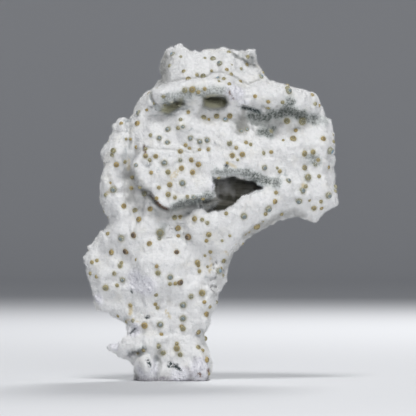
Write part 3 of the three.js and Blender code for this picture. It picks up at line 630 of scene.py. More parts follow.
def net_vertices(values):
    shape = [n - 1 for n in values.shape]
    total, count = np.zeros(shape + [3]), np.zeros(shape, int)
    for axis in range(3):
        p, q = (axis + 1) % 3, (axis + 2) % 3
        a, b = edge_ends(values, axis)
        crossed = (a < 0) != (b < 0)
        along = np.where(crossed, a / np.where(crossed, a - b, 1), 0)
        for dp in (0, 1):
            for dq in (0, 1):
                part = [slice(None)] * 3
                part[p], part[q] = slice(dp, dp + shape[p]), slice(dq, dq + shape[q])
                here = crossed[tuple(part)]
                count += here
                total[..., axis] += along[tuple(part)]
                total[..., p] += here * dp
                total[..., q] += here * dq
    cells = np.argwhere(count)
    index = np.full(shape, -1)
    index[tuple(cells.T)] = np.arange(len(cells))
    at = cells + total[tuple(cells.T)] / count[tuple(cells.T)][:, None]
    return GRID_LOW + STEP * at, index


def net_quads(values, index):
    quads = []
    for axis in range(3):
        p, q = (axis + 1) % 3, (axis + 2) % 3
        a, b = edge_ends(values, axis)
        edges = np.argwhere((a < 0) != (b < 0))
        outwards = a[tuple(edges.T)] < 0
        around = []
        for dp, dq in ((1, 1), (0, 1), (0, 0), (1, 0)):
            cell = edges.copy()
            cell[:, p] -= dp
            cell[:, q] -= dq
            around.append(index[tuple(cell.T)])
        quad = np.stack(around, 1)
        quads.append(np.where(outwards[:, None], quad, quad[:, ::-1]))
    return np.concatenate(quads)


values = read_field(crust)
print("cells made simple:", make_simple(values))
points, index = net_vertices(values)
quads = net_quads(values, index)
print("crust net:", len(points), "points,", len(quads), "quads")

# %% [markdown]
# The net's points lie a little off the field. Each is moved half way to the middle of its
# neighbours and then back on to the surface along the field's slope, which also gives the crust's
# normals.

# %% Settle the points on the surface
SMOOTHING = 0.5  # share of the way to the middle of the neighbours
MOST_MOVE = 0.6  # back on to the surface
LEAST_SLOPE = 0.5
ON_FLOOR = 0.01


def at_points(field, at):
    x, y, z = at.T
    return field(x, y, z, plane_at(x, z))


def slopes(field, at, reach=0.15):
    steps = reach * np.eye(3)
    sides = [at_points(field, at + step) - at_points(field, at - step) for step in steps]
    return np.stack(sides, 1) / (2 * reach)


def neighbour_middles(at, quads):
    total, count = np.zeros_like(at), np.zeros(len(at))
    for side in range(4):
        for a, b in ((side, (side + 1) % 4), ((side + 1) % 4, side)):
            np.add.at(total, quads[:, a], at[quads[:, b]])
            np.add.at(count, quads[:, a], 1)
    return total / count[:, None]


flat = (points[:, 2] < ON_FLOOR)[:, None]
points = np.where(flat, points, mix(points, neighbour_middles(points, quads), SMOOTHING))
slope = slopes(crust, points)
steep = np.maximum((slope**2).sum(1), LEAST_SLOPE**2)
off = clamp(at_points(crust, points), -MOST_MOVE, MOST_MOVE)
points = np.where(flat, points, points - slope * (off / steep)[:, None])
points[:, 2] = np.maximum(points[:, 2], 0)
normals = slope / np.sqrt(steep)[:, None]
print("lowest and highest point, mm:", points.min(0).round(1), points.max(0).round(1))

# %% [markdown]
# How sheltered a place is can be read from the field too. On an open surface the field grows by
# as much as one steps away from it. In a cave or a fold it grows by less, because another wall is
# near. The difference is used later as painted shade: the more sheltered a place, the cooler grey
# the crust is painted there.

# %% How sheltered each point is, for the painted shade
STEPS_AWAY = ((2.5, 0.3), (6.0, 0.35), (12.0, 0.35))  # how far out, and its share in the result


def occlusion_shade_at(at, out):
    shelter = np.zeros(len(at))
    for reach, weight in STEPS_AWAY:
        shelter += weight * (1 - at_points(smooth_crust, at + reach * out) / reach)
    return clamp(shelter)


# %% [markdown]
# Dust and fine dark grains lie along some hollows of the front, and under the ledge, the brim and
# the flap the same dark colour is also painted shade. Other places get smooth painted shade only,
# or golden stains. All are given as lines with a width and a strength, and noise makes their edges
# ragged.

# %% Where the crust is dusty, has painted shade, or is golden
# Dust and dark grains, which under the ledge, the brim and the flap also stand in as painted shade
DUST_AND_SHADE_LINES = [  # x and z along a line, half width, strength
    ([(38.5, 131.9), (42.8, 130.8), (47, 130.4)], 2.4, 1.0),
    ([(47, 130.4), (49.8, 133), (53.6, 132)], 2.7, 1.0),
    ([(53.6, 132), (57.4, 134.6), (60.6, 133.4), (65.8, 131)], 3.0, 1.0),
    ([(57.4, 134.6), (58.6, 139)], 2.8, 1.0),
    ([(65.8, 131), (70, 130.4)], 2.8, 0.9),
    ([(70, 130.4), (76, 129)], 2.4, 0.5),
    ([(44.1, 123.8), (46.5, 123.8), (48.6, 122)], 2.3, 1.0),
    ([(50, 125.8), (48.4, 124)], 2.0, 0.9),
    ([(41, 128.4), (46, 126.6)], 2.0, 0.5),
    ([(-3, 139.8), (5, 141.6), (11, 143), (19, 143.8), (27, 143.6)], 2.7, 0.75),
    ([(22, 103.6), (30, 104.6), (38, 103.4)], 2.1, 0.7),
    ([(38, 103.2), (43, 101), (47, 99.2)], 2.6, 1.0),
    ([(47, 99.2), (52, 98.4)], 2.6, 0.8),
    ([(1, 87.2), (10, 89.8), (19, 92.3)], 2.2, 0.85),
    ([(69, 111), (72, 108.5)], 2.6, 0.7),
    ([(66.5, 101.5), (68, 100)], 1.6, 0.5),
    ([(-4, 77.5), (-5, 73.5)], 1.8, 0.4),
    ([(-21, 13), (-17.5, 14.3), (-13.5, 16)], 1.4, 0.9),
    ([(7, 5.5), (9.5, 3.5)], 2.2, 1.0),
    ([(11.5, 11.5), (12.3, 6)], 1.0, 0.9),
    ([(14, 11), (14.4, 7)], 0.9, 0.8),
    ([(-17, 0.8), (-6, 1.0), (4, 0.8), (17, 1.0)], 1.5, 0.9),
]
SHADED = [
    (CROWN_LAP, 0.55, 0.5),
    (CROWN_SPLIT, 0.8, 0.7),
    (FLAP_EDGE, 0.5, 0.4),
    ([(-10.2, 143.2), (-9.6, 140.2), (-8.2, 138), (-5.8, 135)], 0.6, 0.6),
    ([(-20.6, 128), (-20.8, 116)], 0.9, 0.45),
    ([(41, 128.4), (47, 128.6), (53, 129.6)], 3.4, 0.5),
    ([(43.5, 124.4), (49.6, 123.6)], 3.8, 0.5),
    ([(-17, 1.5), (17, 1.5)], 3.0, 0.3),
    ([(-16, 4), (-15, 9)], 2.0, 0.2),
    ([(40, 131.4), (47, 130.8), (53, 132.2), (58, 133.6), (65, 131)], 3.0, 0.4),
    ([(35.8, 134.5), (36, 130.5)], 2.0, 0.7),
    ([(35.4, 130.2), (34.6, 126.6)], 4.0, 0.9),
    ([(-4.4, 161), (-4.6, 156), (-4.8, 150.5)], 3.8, 0.7),
    ([(-19.5, 140), (-17, 136)], 2.4, 0.2),
    ([(36.5, 72.4), (43.3, 76.8), (49, 79.2), (53.6, 82.2), (60.4, 84), (65.5, 82.6)], 2.2, 0.45),
    ([(21, 43), (24, 52), (29, 61), (33.5, 67)], 1.6, 0.3),
    ([(-20.5, 103), (-20.6, 91)], 3.6, 0.6),
    ([(-15.5, 97.5), (-12.5, 94)], 2.6, 0.5),
    ([(-14, 93.2), (-9.2, 91), (-7.4, 88), (-3, 84.6), (3, 85.2), (10, 87.4), (19, 89.4)],
     1.3, 0.75),
    ([(-8, 83), (2, 82.5), (12, 86)], 3.2, 0.35),
    ([(36, 162), (43, 156)], 3, 0.25),
    ([(-6.2, 15), (-6, 8), (-7, 3)], 1.3, 0.5),
    ([(20.5, 64), (18, 50)], 3, 0.12),
]
GOLDEN = [
    ([(-20.8, 37.6), (-20.2, 35.2), (-20.8, 33.4)], 1.0, 0.8),
    ([(-23, 29.6), (-19.4, 30.4), (-16.6, 29)], 0.8, 0.6),
    ([(0.6, 101.2), (3.2, 104.6)], 1.4, 0.5),
    ([(28.4, 108), (31.6, 106.2)], 1.0, 0.5),
    ([(26.6, 64.6), (28, 62.6)], 0.7, 0.5),
    ([(19.3, 61), (19.6, 57.4), (18.6, 54)], 0.7, 0.6),
    ([(-2.6, 34.6), (-1.2, 31.6)], 0.8, 0.6),
    ([(65, 97.6), (65.4, 95.6)], 0.9, 0.6),
    ([(-21.6, 110), (-21.4, 105)], 0.9, 0.4),
    ([(-29.6, 95.4), (-33, 92.6)], 0.9, 0.5),
]


RAGGED = 0.35  # how ragged the edges are, as a share of the width


def along(lines, x, y, z, fade=(0, 6)):
    """The strength on the lines at the front, falling to nothing over their widths."""
    most = 0.0
    edge = noise(x / 2.2, y / 2.2, z / 2.2) + 0.6 * noise(x / 0.9, y / 0.9, z / 0.9)
    for points, width, strength in lines:
        away = line_distance(points, x, z) + RAGGED * width * edge
        most = np.maximum(most, strength * (1 - ramp(away, 0.3 * width, 1.4 * width)))
    return most * ramp(-y, *fade)


# %% Where the crust is deep
def deep_at(x, y, z):
    """How far inside the cave a place is, and how far inside the recesses."""
    plane = plane_at(x, z)
    # The cave's share grows inwards, and the cave walls are painted darker with it as shade
    cave = ramp(-hollow(y, plane), -2.0, 0.5) * ramp(y, -21, -14)
    cave = cave * (1 - 0.9 * ramp(-rods(TONGUE, x, y, z), -1.6, 0.2))
    pits = (1 - ramp(plane["recess"], -1.6, 0.9)) * (y < 0)
    return cave, pits


cave, pits = deep_at(*points.T)
# Marks for the finish; the sheltered places, the shade lines, the cave's depth and the dust lines
# carry painted shade
marks = {
    "shelter": occlusion_shade_at(points, normals),
    "broken": broken_at(*points.T),
    "deep": np.maximum(cave, pits),
    "pits": pits,
    "dust": along(DUST_AND_SHADE_LINES, *points.T),
    "shade": along(SHADED, *points.T, fade=(-4, 3)),
    "golden": along(GOLDEN, *points.T) * ramp(-normals[:, 1], 0.1, 0.45),
    "green": marked(GREEN_CRACKS, *points.T),
    "rust": marked(RUSTY_CRACKS, *points.T),
}
for name, mark in marks.items():
    print(name, [value.round(3) for value in (mark.min(), mark.mean(), mark.max())])

# %% [markdown]
# ## Meshes from arrays
#
# `foreach_set` hands whole NumPy arrays to Blender, which is many times faster than adding
# vertices one by one. Values that a material needs at each point are stored as attributes.

# %% A mesh object from arrays
def add_object(name, data):
    made = bpy.data.objects.new(name, data)
    bpy.context.scene.collection.objects.link(made)
    return made


def add_attribute(mesh, name, data):
    kind, field = ("FLOAT_VECTOR", "vector") if np.ndim(data) == 2 else ("FLOAT", "value")
    made = mesh.attributes.new(name, kind, "POINT")
    made.data.foreach_set(field, np.ravel(data).astype(np.float32))


def mesh_object(name, at_mm, faces, attributes):
    mesh = bpy.data.meshes.new(name)
    mesh.vertices.add(len(at_mm))
    mesh.vertices.foreach_set("co", (at_mm * MM).astype(np.float32).ravel())
    if len(faces):
        sides = faces.shape[1]
        mesh.loops.add(faces.size)
        mesh.loops.foreach_set("vertex_index", faces.astype(np.int32).ravel())
        mesh.polygons.add(len(faces))
        mesh.polygons.foreach_set("loop_start", np.arange(0, faces.size, sides, dtype=np.int32))
    mesh.update(calc_edges=True)
    mesh.shade_smooth()
    for key, data in attributes.items():
        add_attribute(mesh, key, data)
    return add_object(name, mesh)


crust_piece = mesh_object("okenite_crust", points, quads, marks)
loose = bmesh.new()
loose.from_mesh(crust_piece.data)
volume = loose.calc_volume(signed=True)
odd_edges = sum(not edge.is_manifold for edge in loose.edges)
loose.free()
print("crust volume, cm3:", round(volume * 1e6, 1), "edges without two faces:", odd_edges)

# %% [markdown]
# ## Nodes as Python expressions
#
# Shader and geometry trees are easier to read as sums than as wires. A small class wraps a socket
# so that `+`, `-` and `*` add Math nodes, and one method adds any other node.

# %% Sockets that can be calculated with
class Value:
    """A socket of a node tree that Python's operators work on."""

    def __init__(self, tree, socket):
        self.tree, self.socket = tree, socket

    def __add__(self, other):
        return self.tree.math("ADD", self, other)

    def __rsub__(self, other):
        return self.tree.math("SUBTRACT", other, self)

    def __mul__(self, other):
        return self.tree.math("MULTIPLY", self, other)

    __radd__ = __add__


class Tree:
    """A node tree being built."""

    def __init__(self, nodes):
        self.nodes = nodes

    def add(self, kind, settings=None, inputs=None):
        made = self.nodes.nodes.new(kind)
        for key, value in (settings or {}).items():
            if key == "stops":
                self.set_stops(made.color_ramp, value)
            else:
                setattr(made, key, value)
        for key, value in (inputs or {}).items():
            self.put(made.inputs[key], value)
        return made

    def put(self, socket, value):
        if isinstance(value, Value):
            self.nodes.links.new(value.socket, socket)
        else:
            socket.default_value = value

    def set_stops(self, color_ramp, stops):
        for place, colour in stops[2:]:
            color_ramp.elements.new(place)
        for element, (place, colour) in zip(color_ramp.elements, stops):
            element.position, element.color = place, (*colour, 1)

    def out(self, made, output=0):
        return Value(self, made.outputs[output])

    def node(self, kind, settings=None, inputs=None, output=0):
        return self.out(self.add(kind, settings, inputs), output)

    def math(self, operation, *values):
        return self.node("ShaderNodeMath", {"operation": operation}, dict(enumerate(values)))

    def mix(self, share, a, b):
        settings = {"data_type": "RGBA"}
        return self.node("ShaderNodeMix", settings, {0: share, 6: rgba(a), 7: rgba(b)}, 2)

    def between(self, value, low, high):
        inputs = {0: value, 1: low, 2: high}
        return self.node("ShaderNodeMapRange", {"interpolation_type": "SMOOTHSTEP"}, inputs)

    def by_stops(self, value, stops):
        return self.node("ShaderNodeValToRGB", {"stops": stops}, {"Fac": value})

    def height_of(self, vector):
        return self.node("ShaderNodeSeparateXYZ", None, {0: vector}, "Z")


def rgba(colour):
    return colour if isinstance(colour, Value) else (*colour, 1)


# %% [markdown]
# A material starts with its Principled shader. Numbers that are the same all over go on the
# shader's own sockets, and only what changes from place to place is linked.

# %% A material to build on
class Finish(Tree):
    """A material with a Principled shader."""

    def __init__(self, name, roughness):
        self.material = bpy.data.materials.new(name)
        self.material.use_nodes = True
        super().__init__(self.material.node_tree)
        self.shader = self.nodes.nodes["Principled BSDF"]
        self.shader.inputs["Roughness"].default_value = roughness
        self.at = self.node("ShaderNodeTexCoord", output="Object")

    def attribute(self, name):
        return self.node("ShaderNodeAttribute", {"attribute_name": name}, output="Fac")

    def grain(self, size_mm, detail=2.0):
        inputs = {"Vector": self.at, "Scale": 1000 / size_mm, "Detail": detail}
        return self.node("ShaderNodeTexNoise", None, inputs)

    def patches(self, size_mm, low, high, detail=2.0):
        """Soft-edged patches, one where the noise is over high."""
        return self.between(self.grain(size_mm, detail), low, high)

    def streaks(self, thin_mm, long_mm):
        """Noise drawn out sideways."""
        scale = {0: self.at, 3: (1000 / long_mm, 1000 / long_mm, 1000 / thin_mm)}
        at = self.node("ShaderNodeMapping", {"vector_type": "POINT"}, scale)
        return self.node("ShaderNodeTexNoise", None, {"Vector": at, "Scale": 1.0, "Detail": 2.0})

    def link(self, socket, value):
        self.put(self.shader.inputs[socket], value)

    def bump(self, height, depth_mm, strength):
        inputs = {"Height": height, "Distance": depth_mm * MM, "Strength": strength}
        self.link("Normal", self.node("ShaderNodeBump", None, inputs))


# %% [markdown]
# ## The crust's finish
#
# Okenite is nearly pure white and quite matt. Folds get a cool grey painted shade, the walls of the
# deep cave are olive grey with painted shade that darkens inwards, and fresh breaks are the
# brightest and glint a little. The dust also serves as painted shade under the ledge, the brim and
# the flap. Close to the ground its dust is grey-violet. Narrow cracks are filled rusty or dark
# green.

# %% The colours of okenite
OKENITE = (0.83, 0.83, 0.83)
COOL_SHADE = (0.56, 0.59, 0.60)
WARM_TINT = (0.80, 0.78, 0.72)
# Dust colours; under the ledge, brim and flap they also stand in as painted shade
DUST_AND_SHADE_TINT = (0.28, 0.35, 0.33)
DARK_DUST_AND_SHADE = (0.085, 0.11, 0.095)
SMOOTH_SHADE = (0.26, 0.26, 0.245)
# The cave's wall, olive grey darkened as painted shade
CAVE_OLIVE_AND_SHADE = (0.14, 0.138, 0.11)
CAVE_STREAK = (0.33, 0.32, 0.275)
PIT_WALL = (0.58, 0.57, 0.42)
GOLD_STAIN = (0.62, 0.50, 0.24)
HALO = (0.40, 0.37, 0.24)
BREAK = (0.90, 0.895, 0.945)
FACET_SHADE = (0.40, 0.39, 0.46)
FOOT_GREY = (0.22, 0.20, 0.235)
RUST = (0.16, 0.075, 0.03)
GREEN = (0.012, 0.035, 0.035)


def okenite_colour(finish):
    """The crust's colour, which its needles share."""
    colour = finish.mix(finish.patches(9, 0.5, 0.75) * 0.4, OKENITE, WARM_TINT)
    colour = finish.mix(finish.patches(1.5, 0.5, 0.72, 4) * 0.35, colour, COOL_SHADE)
    # Painted shade: cool grey where a place is sheltered, smooth grey on the shade lines
    occlusion_shaded = finish.between(finish.attribute("shelter"), 0.40, 0.95)
    colour = finish.mix(occlusion_shaded * 0.8, colour, COOL_SHADE)
    colour = finish.mix(finish.attribute("shade"), colour, SMOOTH_SHADE)

    # Dust and dark grains; under the ledge, brim and flap they are also painted shade
    here, grains = finish.attribute("dust"), finish.patches(1.0, 0.36, 0.64, 4)
    dust = finish.mix(finish.between(here + grains * 0.5, 0.5, 1.2), DUST_AND_SHADE_TINT, DARK_DUST_AND_SHADE)
    low = 1 - finish.between(finish.height_of(finish.at), 10 * MM, 18 * MM)
    dust = finish.mix(low, dust, FOOT_GREY)
    colour = finish.mix(here * (0.45 + grains * 0.5), colour, dust)

    # Stains round the balls and along the golden lines
    colour = finish.mix(finish.attribute("halo") * 0.45, colour, HALO)
    stained = finish.attribute("golden") * finish.patches(1.3, 0.38, 0.52, 3)
    colour = finish.mix(stained, colour, GOLD_STAIN)

    # Fresh breaks
    broken, facets = finish.attribute("broken"), finish.patches(1.7, 0.56, 0.66, 1)
    colour = finish.mix(broken * 0.8, colour, BREAK)
    colour = finish.mix(broken * facets * 0.4, colour, FACET_SHADE)

    # Cave walls: olive grey, streaked, painted darker inwards as shade; recess walls olive
    streak = finish.between(finish.streaks(2.4, 14), 0.42, 0.66)
    wall = finish.mix(streak, CAVE_OLIVE_AND_SHADE, CAVE_STREAK)
    wall = finish.mix(finish.attribute("pits"), wall, PIT_WALL)
    colour = finish.mix(finish.attribute("deep"), colour, wall)

    # What fills the narrow cracks
    ragged = finish.patches(1.2, 0.36, 0.50, 3)
    colour = finish.mix(finish.attribute("rust") * ragged, colour, RUST)
    return finish.mix(finish.attribute("green") * ragged, colour, GREEN)


# %% Okenite
MATT = 0.93
okenite = Finish("okenite", MATT)
okenite.link("Base Color", okenite_colour(okenite))
broken = okenite.attribute("broken")
okenite.link("Roughness", MATT - broken * okenite.patches(1.1, 0.45, 0.65, 1) * 0.5)
rough = broken * okenite.grain(1.3, 2) * 2.5
height = okenite.grain(1.6, 4) + okenite.grain(0.7, 2) * 0.6 + rough
okenite.bump(height, depth_mm=0.8, strength=0.8)
crust_piece.data.materials.append(okenite.material)
print("okenite nodes:", len(okenite.nodes.nodes))

# %% [markdown]
# ## Where the balls are
#
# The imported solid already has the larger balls, fused to it as domes with a pole and a ring of
# five corners. A pole is easy to find: its five neighbours are all equally far from it, by about
# the ball's radius, and lie well below it. Reading them back keeps both models in step.

# %% Read the balls from the solid
REACHES = (0.9, 2.0)  # from a pole to its ring, least and most
SAME_REACH = 0.02
# The rest are shares of the reach: how far a pole rises over its ring, at least, how deep under
# the pole the finer ball's middle lies, and how large its radius is.
LEAST_RISE, MIDDLE_DEPTH, BALL_RADIUS = 0.4, 1.25, 1.06


def balls_of(mesh):
    """Rows of a ball's middle, the way out of the crust there, and its radius."""
    work = bmesh.new()
    work.from_mesh(mesh)
    bmesh.ops.remove_doubles(work, verts=work.verts, dist=1e-6)
    found = []
    for vertex in work.verts:
        ring = [edge.other_vert(vertex).co / MM for edge in vertex.link_edges]
        pole = vertex.co / MM
        reaches = [(corner - pole).length for corner in ring]
        alike = max(reaches) - min(reaches) <= SAME_REACH
        if len(ring) == 5 and REACHES[0] < reaches[0] < REACHES[1] and alike:
            rise = pole - sum(ring, Vector()) / 5
            reach = sum(reaches) / 5
            if rise.length > LEAST_RISE * reach:
                out = rise.normalized()
                found.append([*(pole - MIDDLE_DEPTH * reach * out), *out, BALL_RADIUS * reach])
    work.free()
    return np.array(found)


large = balls_of(solid.data)
print("balls read from the solid:", len(large))

# %% [markdown]
# The smaller balls of the front are placed by x, z and diameter. Each is dropped on to the crust
# from the front, by stepping back along y until the field turns negative. The one at (-32, 81.5)
# lies just outside the outline, so it meets no crust and stays 28 mm back, free of the left edge.

# %% The smaller balls of the front
SMALL_BALLS = [
    # crown
    (4.5, 161.2, 1.5), (-1, 156.7, 2), (6, 153.7, 2), (16.5, 160.5, 1.5), (29.8, 157, 1),
    (27.3, 154.5, 2), (19.8, 154, 1.5), (34.4, 155.3, 1.5), (37.3, 157.3, 2), (37.8, 161.2, 2),
    (12.5, 151.8, 2), (25.8, 149.8, 2), (29.4, 152.2, 2), (34, 148.6, 2), (28.5, 147.2, 2),
    (45.2, 153.5, 2),
    # brim and ledge
    (13.3, 143.1, 2), (16.4, 144.7, 2), (-4, 141.2, 2), (-3.5, 137.5, 2), (41.3, 141.2, 2),
    (47.8, 138.6, 2), (69.7, 142.1, 2), (54.9, 138.3, 2), (73.1, 137, 2), (71.2, 137.7, 2),
    (48, 135.7, 2),
    # face
    (-12.4, 134.7, 1.5), (8.2, 133.4, 2), (18.4, 129.8, 1.5), (3.2, 125.5, 2), (5.6, 126.2, 2),
    (4.5, 129.7, 2), (-10.4, 122, 2), (-22.7, 120.3, 1.5), (-20.4, 120.2, 1.5),
    (-17.5, 116.2, 2), (6.9, 117.1, 2), (8.8, 115.4, 2), (13.8, 114.6, 2), (18.2, 115, 2),
    (32, 115.8, 2), (36.8, 118.4, 2), (39, 117.4, 2), (32.6, 109.8, 1.5), (27.5, 108.3, 1.5),
    (45.4, 113.2, 2), (49.3, 113.7, 2), (34.4, 124, 2), (37.2, 124.9, 2),
    # left flank
    (-25.1, 128, 2), (-29.6, 112.3, 2), (-23.4, 108.9, 2), (-32.9, 92.5, 2), (-30.5, 98.5, 1.5),
    (-19.7, 101.3, 2), (-20.1, 95.9, 2),
    # flap
    (-12.8, 115.2, 2), (4.3, 109.6, 2), (-10, 103.5, 2), (-6.3, 96.1, 2), (-7.4, 90.8, 2),
    (1.7, 91.2, 2), (7.8, 91.6, 2), (10.8, 91.3, 2), (15.5, 90.7, 2), (-15.8, 96.3, 2),
    (-17.6, 107.2, 2),
    # right lobe
    (61.6, 124.5, 2), (55.3, 119.5, 1.5), (53.6, 104.2, 2), (52.3, 105.8, 1.5), (72.7, 109.8, 2),
    (71.3, 107.6, 2), (77.8, 106.3, 2), (73.1, 101.7, 2), (66.6, 96.8, 2), (51.7, 93.6, 2),
    (74.1, 89.2, 2), (68.3, 89.8, 1.5), (81.3, 94.2, 2), (46.5, 83, 2), (27, 83.3, 2),
    (74.4, 86, 2), (49.3, 124, 2), (54.5, 83, 2),
    # body
    (-32, 81.5, 2), (-31.9, 73.2, 2), (-6.1, 70.7, 2), (3.2, 72.2, 2), (15.1, 80.2, 2),
    (17.7, 78.6, 2), (17.2, 69.8, 2), (25, 69.8, 1.5), (28.8, 72.3, 1.5), (36.3, 73.2, 2),
    (19.2, 64.3, 2), (16.5, 62.4, 1.5), (13.1, 57.5, 2), (17.8, 56.8, 1.5), (13.7, 54.6, 2),
    (24.2, 55.9, 2), (-39.9, 58.9, 2), (-37.4, 59.8, 2), (-40.7, 53.3, 2), (-37.5, 51.8, 2),
    (-25, 58.7, 2), (-17.6, 60.4, 1.5), (-7.5, 57.2, 2), (-0.8, 48.4, 2), (1.8, 48.6, 2),
    (-27.3, 47.5, 2), (-7.8, 42.9, 2), (-8.2, 38.2, 2), (-7.2, 36.4, 2), (16.2, 39.3, 2),
    (18.8, 36.9, 2), (22, 39, 2), (-20.5, 37.6, 2), (-19.2, 29.9, 2), (-22.4, 29.3, 2),
    # waist and foot
    (4.8, 27.2, 2), (-5.2, 23.3, 2), (2.5, 18.6, 2), (15.3, 15.2, 2), (-14, 15.5, 2),
    (-16.5, 13.9, 2), (18.2, 3.6, 2),
]


# %% Set them on the crust
DROP_FROM, DROP_STEP, DROP_STEPS = -40.0, 0.2, 340
PROUD = 0.02  # of the diameter, from the surface to a ball's middle


def drop_from_front(x, z):
    plane = plane_at(x, z)
    y = np.full(len(x), DROP_FROM)
    for _ in range(DROP_STEPS):
        y = np.where(crust(x, y, z, plane) > 0, y + DROP_STEP, y)
    return np.stack([x, y, z], 1)


def sunk(at, diameters):
    out = slopes(smooth_crust, at)
    out /= np.linalg.norm(out, axis=1)[:, None]
    return np.concatenate([at + out * (PROUD * diameters)[:, None], out, diameters[:, None] / 2], 1)


front_x, front_z, diameters = np.array(SMALL_BALLS).T
small = sunk(drop_from_front(front_x, front_z), diameters)
print("smaller balls on the front:", len(small), "the last found at y", small[:, 1].max().round(1))

# %% More small balls on the sides and the back
STREWN = 110
LEAST_HEIGHT = 9
SMALLEST, LARGEST = 1.1, 2.3
chance = np.random.default_rng(7)
turned_away = normals[:, 1] > -0.15
hidden = np.flatnonzero(turned_away & (points[:, 2] > LEAST_HEIGHT) & (marks["deep"] < 0.1))
picked = chance.choice(hidden, STREWN, replace=False)
strewn = sunk(points[picked], chance.uniform(SMALLEST, LARGEST, STREWN))
balls = np.concatenate([large, small, strewn])
print("balls in all:", len(balls))

# %% [markdown]
# Around each ball the needles are stained by it. The crust gets one more attribute for that, which
# is one at a ball's surface and falls to nothing a little further out.

# %% A halo round each ball
HALO_REACH = 1.6  # radii from the ball's middle
halo = np.zeros(len(points))
for x, y, z, *_, radius in balls:
    near = np.flatnonzero((np.abs(points - (x, y, z)) < 2 * radius).all(1))
    away = np.linalg.norm(points[near] - (x, y, z), axis=1) / radius
    halo[near] = np.maximum(halo[near], 1 - ramp(away, 1.0, HALO_REACH))
add_attribute(crust_piece.data, "halo", halo)
print("crust points with a halo:", (halo > 0.1).sum())

# %% [markdown]
# ## The balls
#
# Geometry Nodes can put a small ball at each point of a cloud, turned to face outwards and scaled
# to its size. The ball first gets a value that is one at its pole and falls to its sides, because
# gyrolite is grey in the middle of a ball and golden towards its rim. Each ball also has a tone
# between 0, which is blue-grey, and 1, which is dark brown. It is random, except for the balls of
# the front that stand at or nearest to the places listed here, as x and z.

# %% Balls with a tone of their own
BLUE = [(23, 149.9), (44.4, 151.2), (26.6, 129.5), (5.6, 126.2), (34.4, 124), (37.2, 124.9),
        (10.8, 91.4), (78.7, 114.5), (23.3, 54.8), (0, 162), (-16, 108)]
SLATE = [(57.9, 99.4), (64.7, 94.6), (63, 89.7), (78.1, 92.6), (36.1, 82), (48.4, 85.4),
         (-3.4, 108.8), (5.2, 98.2), (8.9, 120.2), (14, 119.1), (17.7, 119.7), (-2, 124.9),
         (-6.3, 120.6), (-2, 118.4), (-29.1, 95.3), (3.8, 109.7), (-25.1, 71.1), (-1, 51.7),
         (-24.5, 50.4), (5.7, 37.5), (5.5, 31.4), (-5.6, 28.2), (23.8, 157.7), (58.3, 144),
         (46, 106), (71.6, 107), (-6, 71.1), (-19, 136.4)]
AMBER = [(3.2, 75.9), (3.2, 72.5), (-11, 68.5), (-30.2, 63.9), (-16.9, 127.7), (-12.3, 134.6),
         (61.7, 124.5), (75.3, 120.3), (41, 141.1), (47.9, 138.5), (18.5, 129.5), (-17.5, 116.4),
         (-27.5, 107.3), (-23.7, 87), (-16.3, 80.5), (-10, 103.4), (13.2, 107.4), (10.2, 103.8),
         (-5.3, 23.3), (-13.3, 27.7), (16.5, 33.8), (17.3, 10.4), (-7.7, 57.3), (16.1, 39.2)]
DARK = [(8.2, 71.6), (4.1, 49.2), (2.5, 64), (-18.6, 72.5), (-22.6, 64.6)]
BEHIND = 100  # added to the distance of balls that aren't on the front
tones = chance.uniform(0.25, 0.85, len(balls))
for places, tone in ((SLATE, 0.08), (BLUE, 0.0), (AMBER, 0.9), (DARK, 1.0)):
    for x, z in places:
        away = np.hypot(balls[:, 0] - x, balls[:, 2] - z) + BEHIND * (balls[:, 1] > 0)
        tones[away.argmin()] = tone

# %% A point cloud with sizes, directions and tones
NO_FACES = np.zeros((0, 3), int)
cloud = mesh_object(
    "gyrolite_balls", balls[:, :3], NO_FACES,
    {
        "outwards": balls[:, 3:6],
        "radius": balls[:, 6] * MM,
        "tone": tones,
        "small": ramp(-balls[:, 6], -1.3, -0.8),
    },
)
print("points in the cloud:", len(cloud.data.vertices))


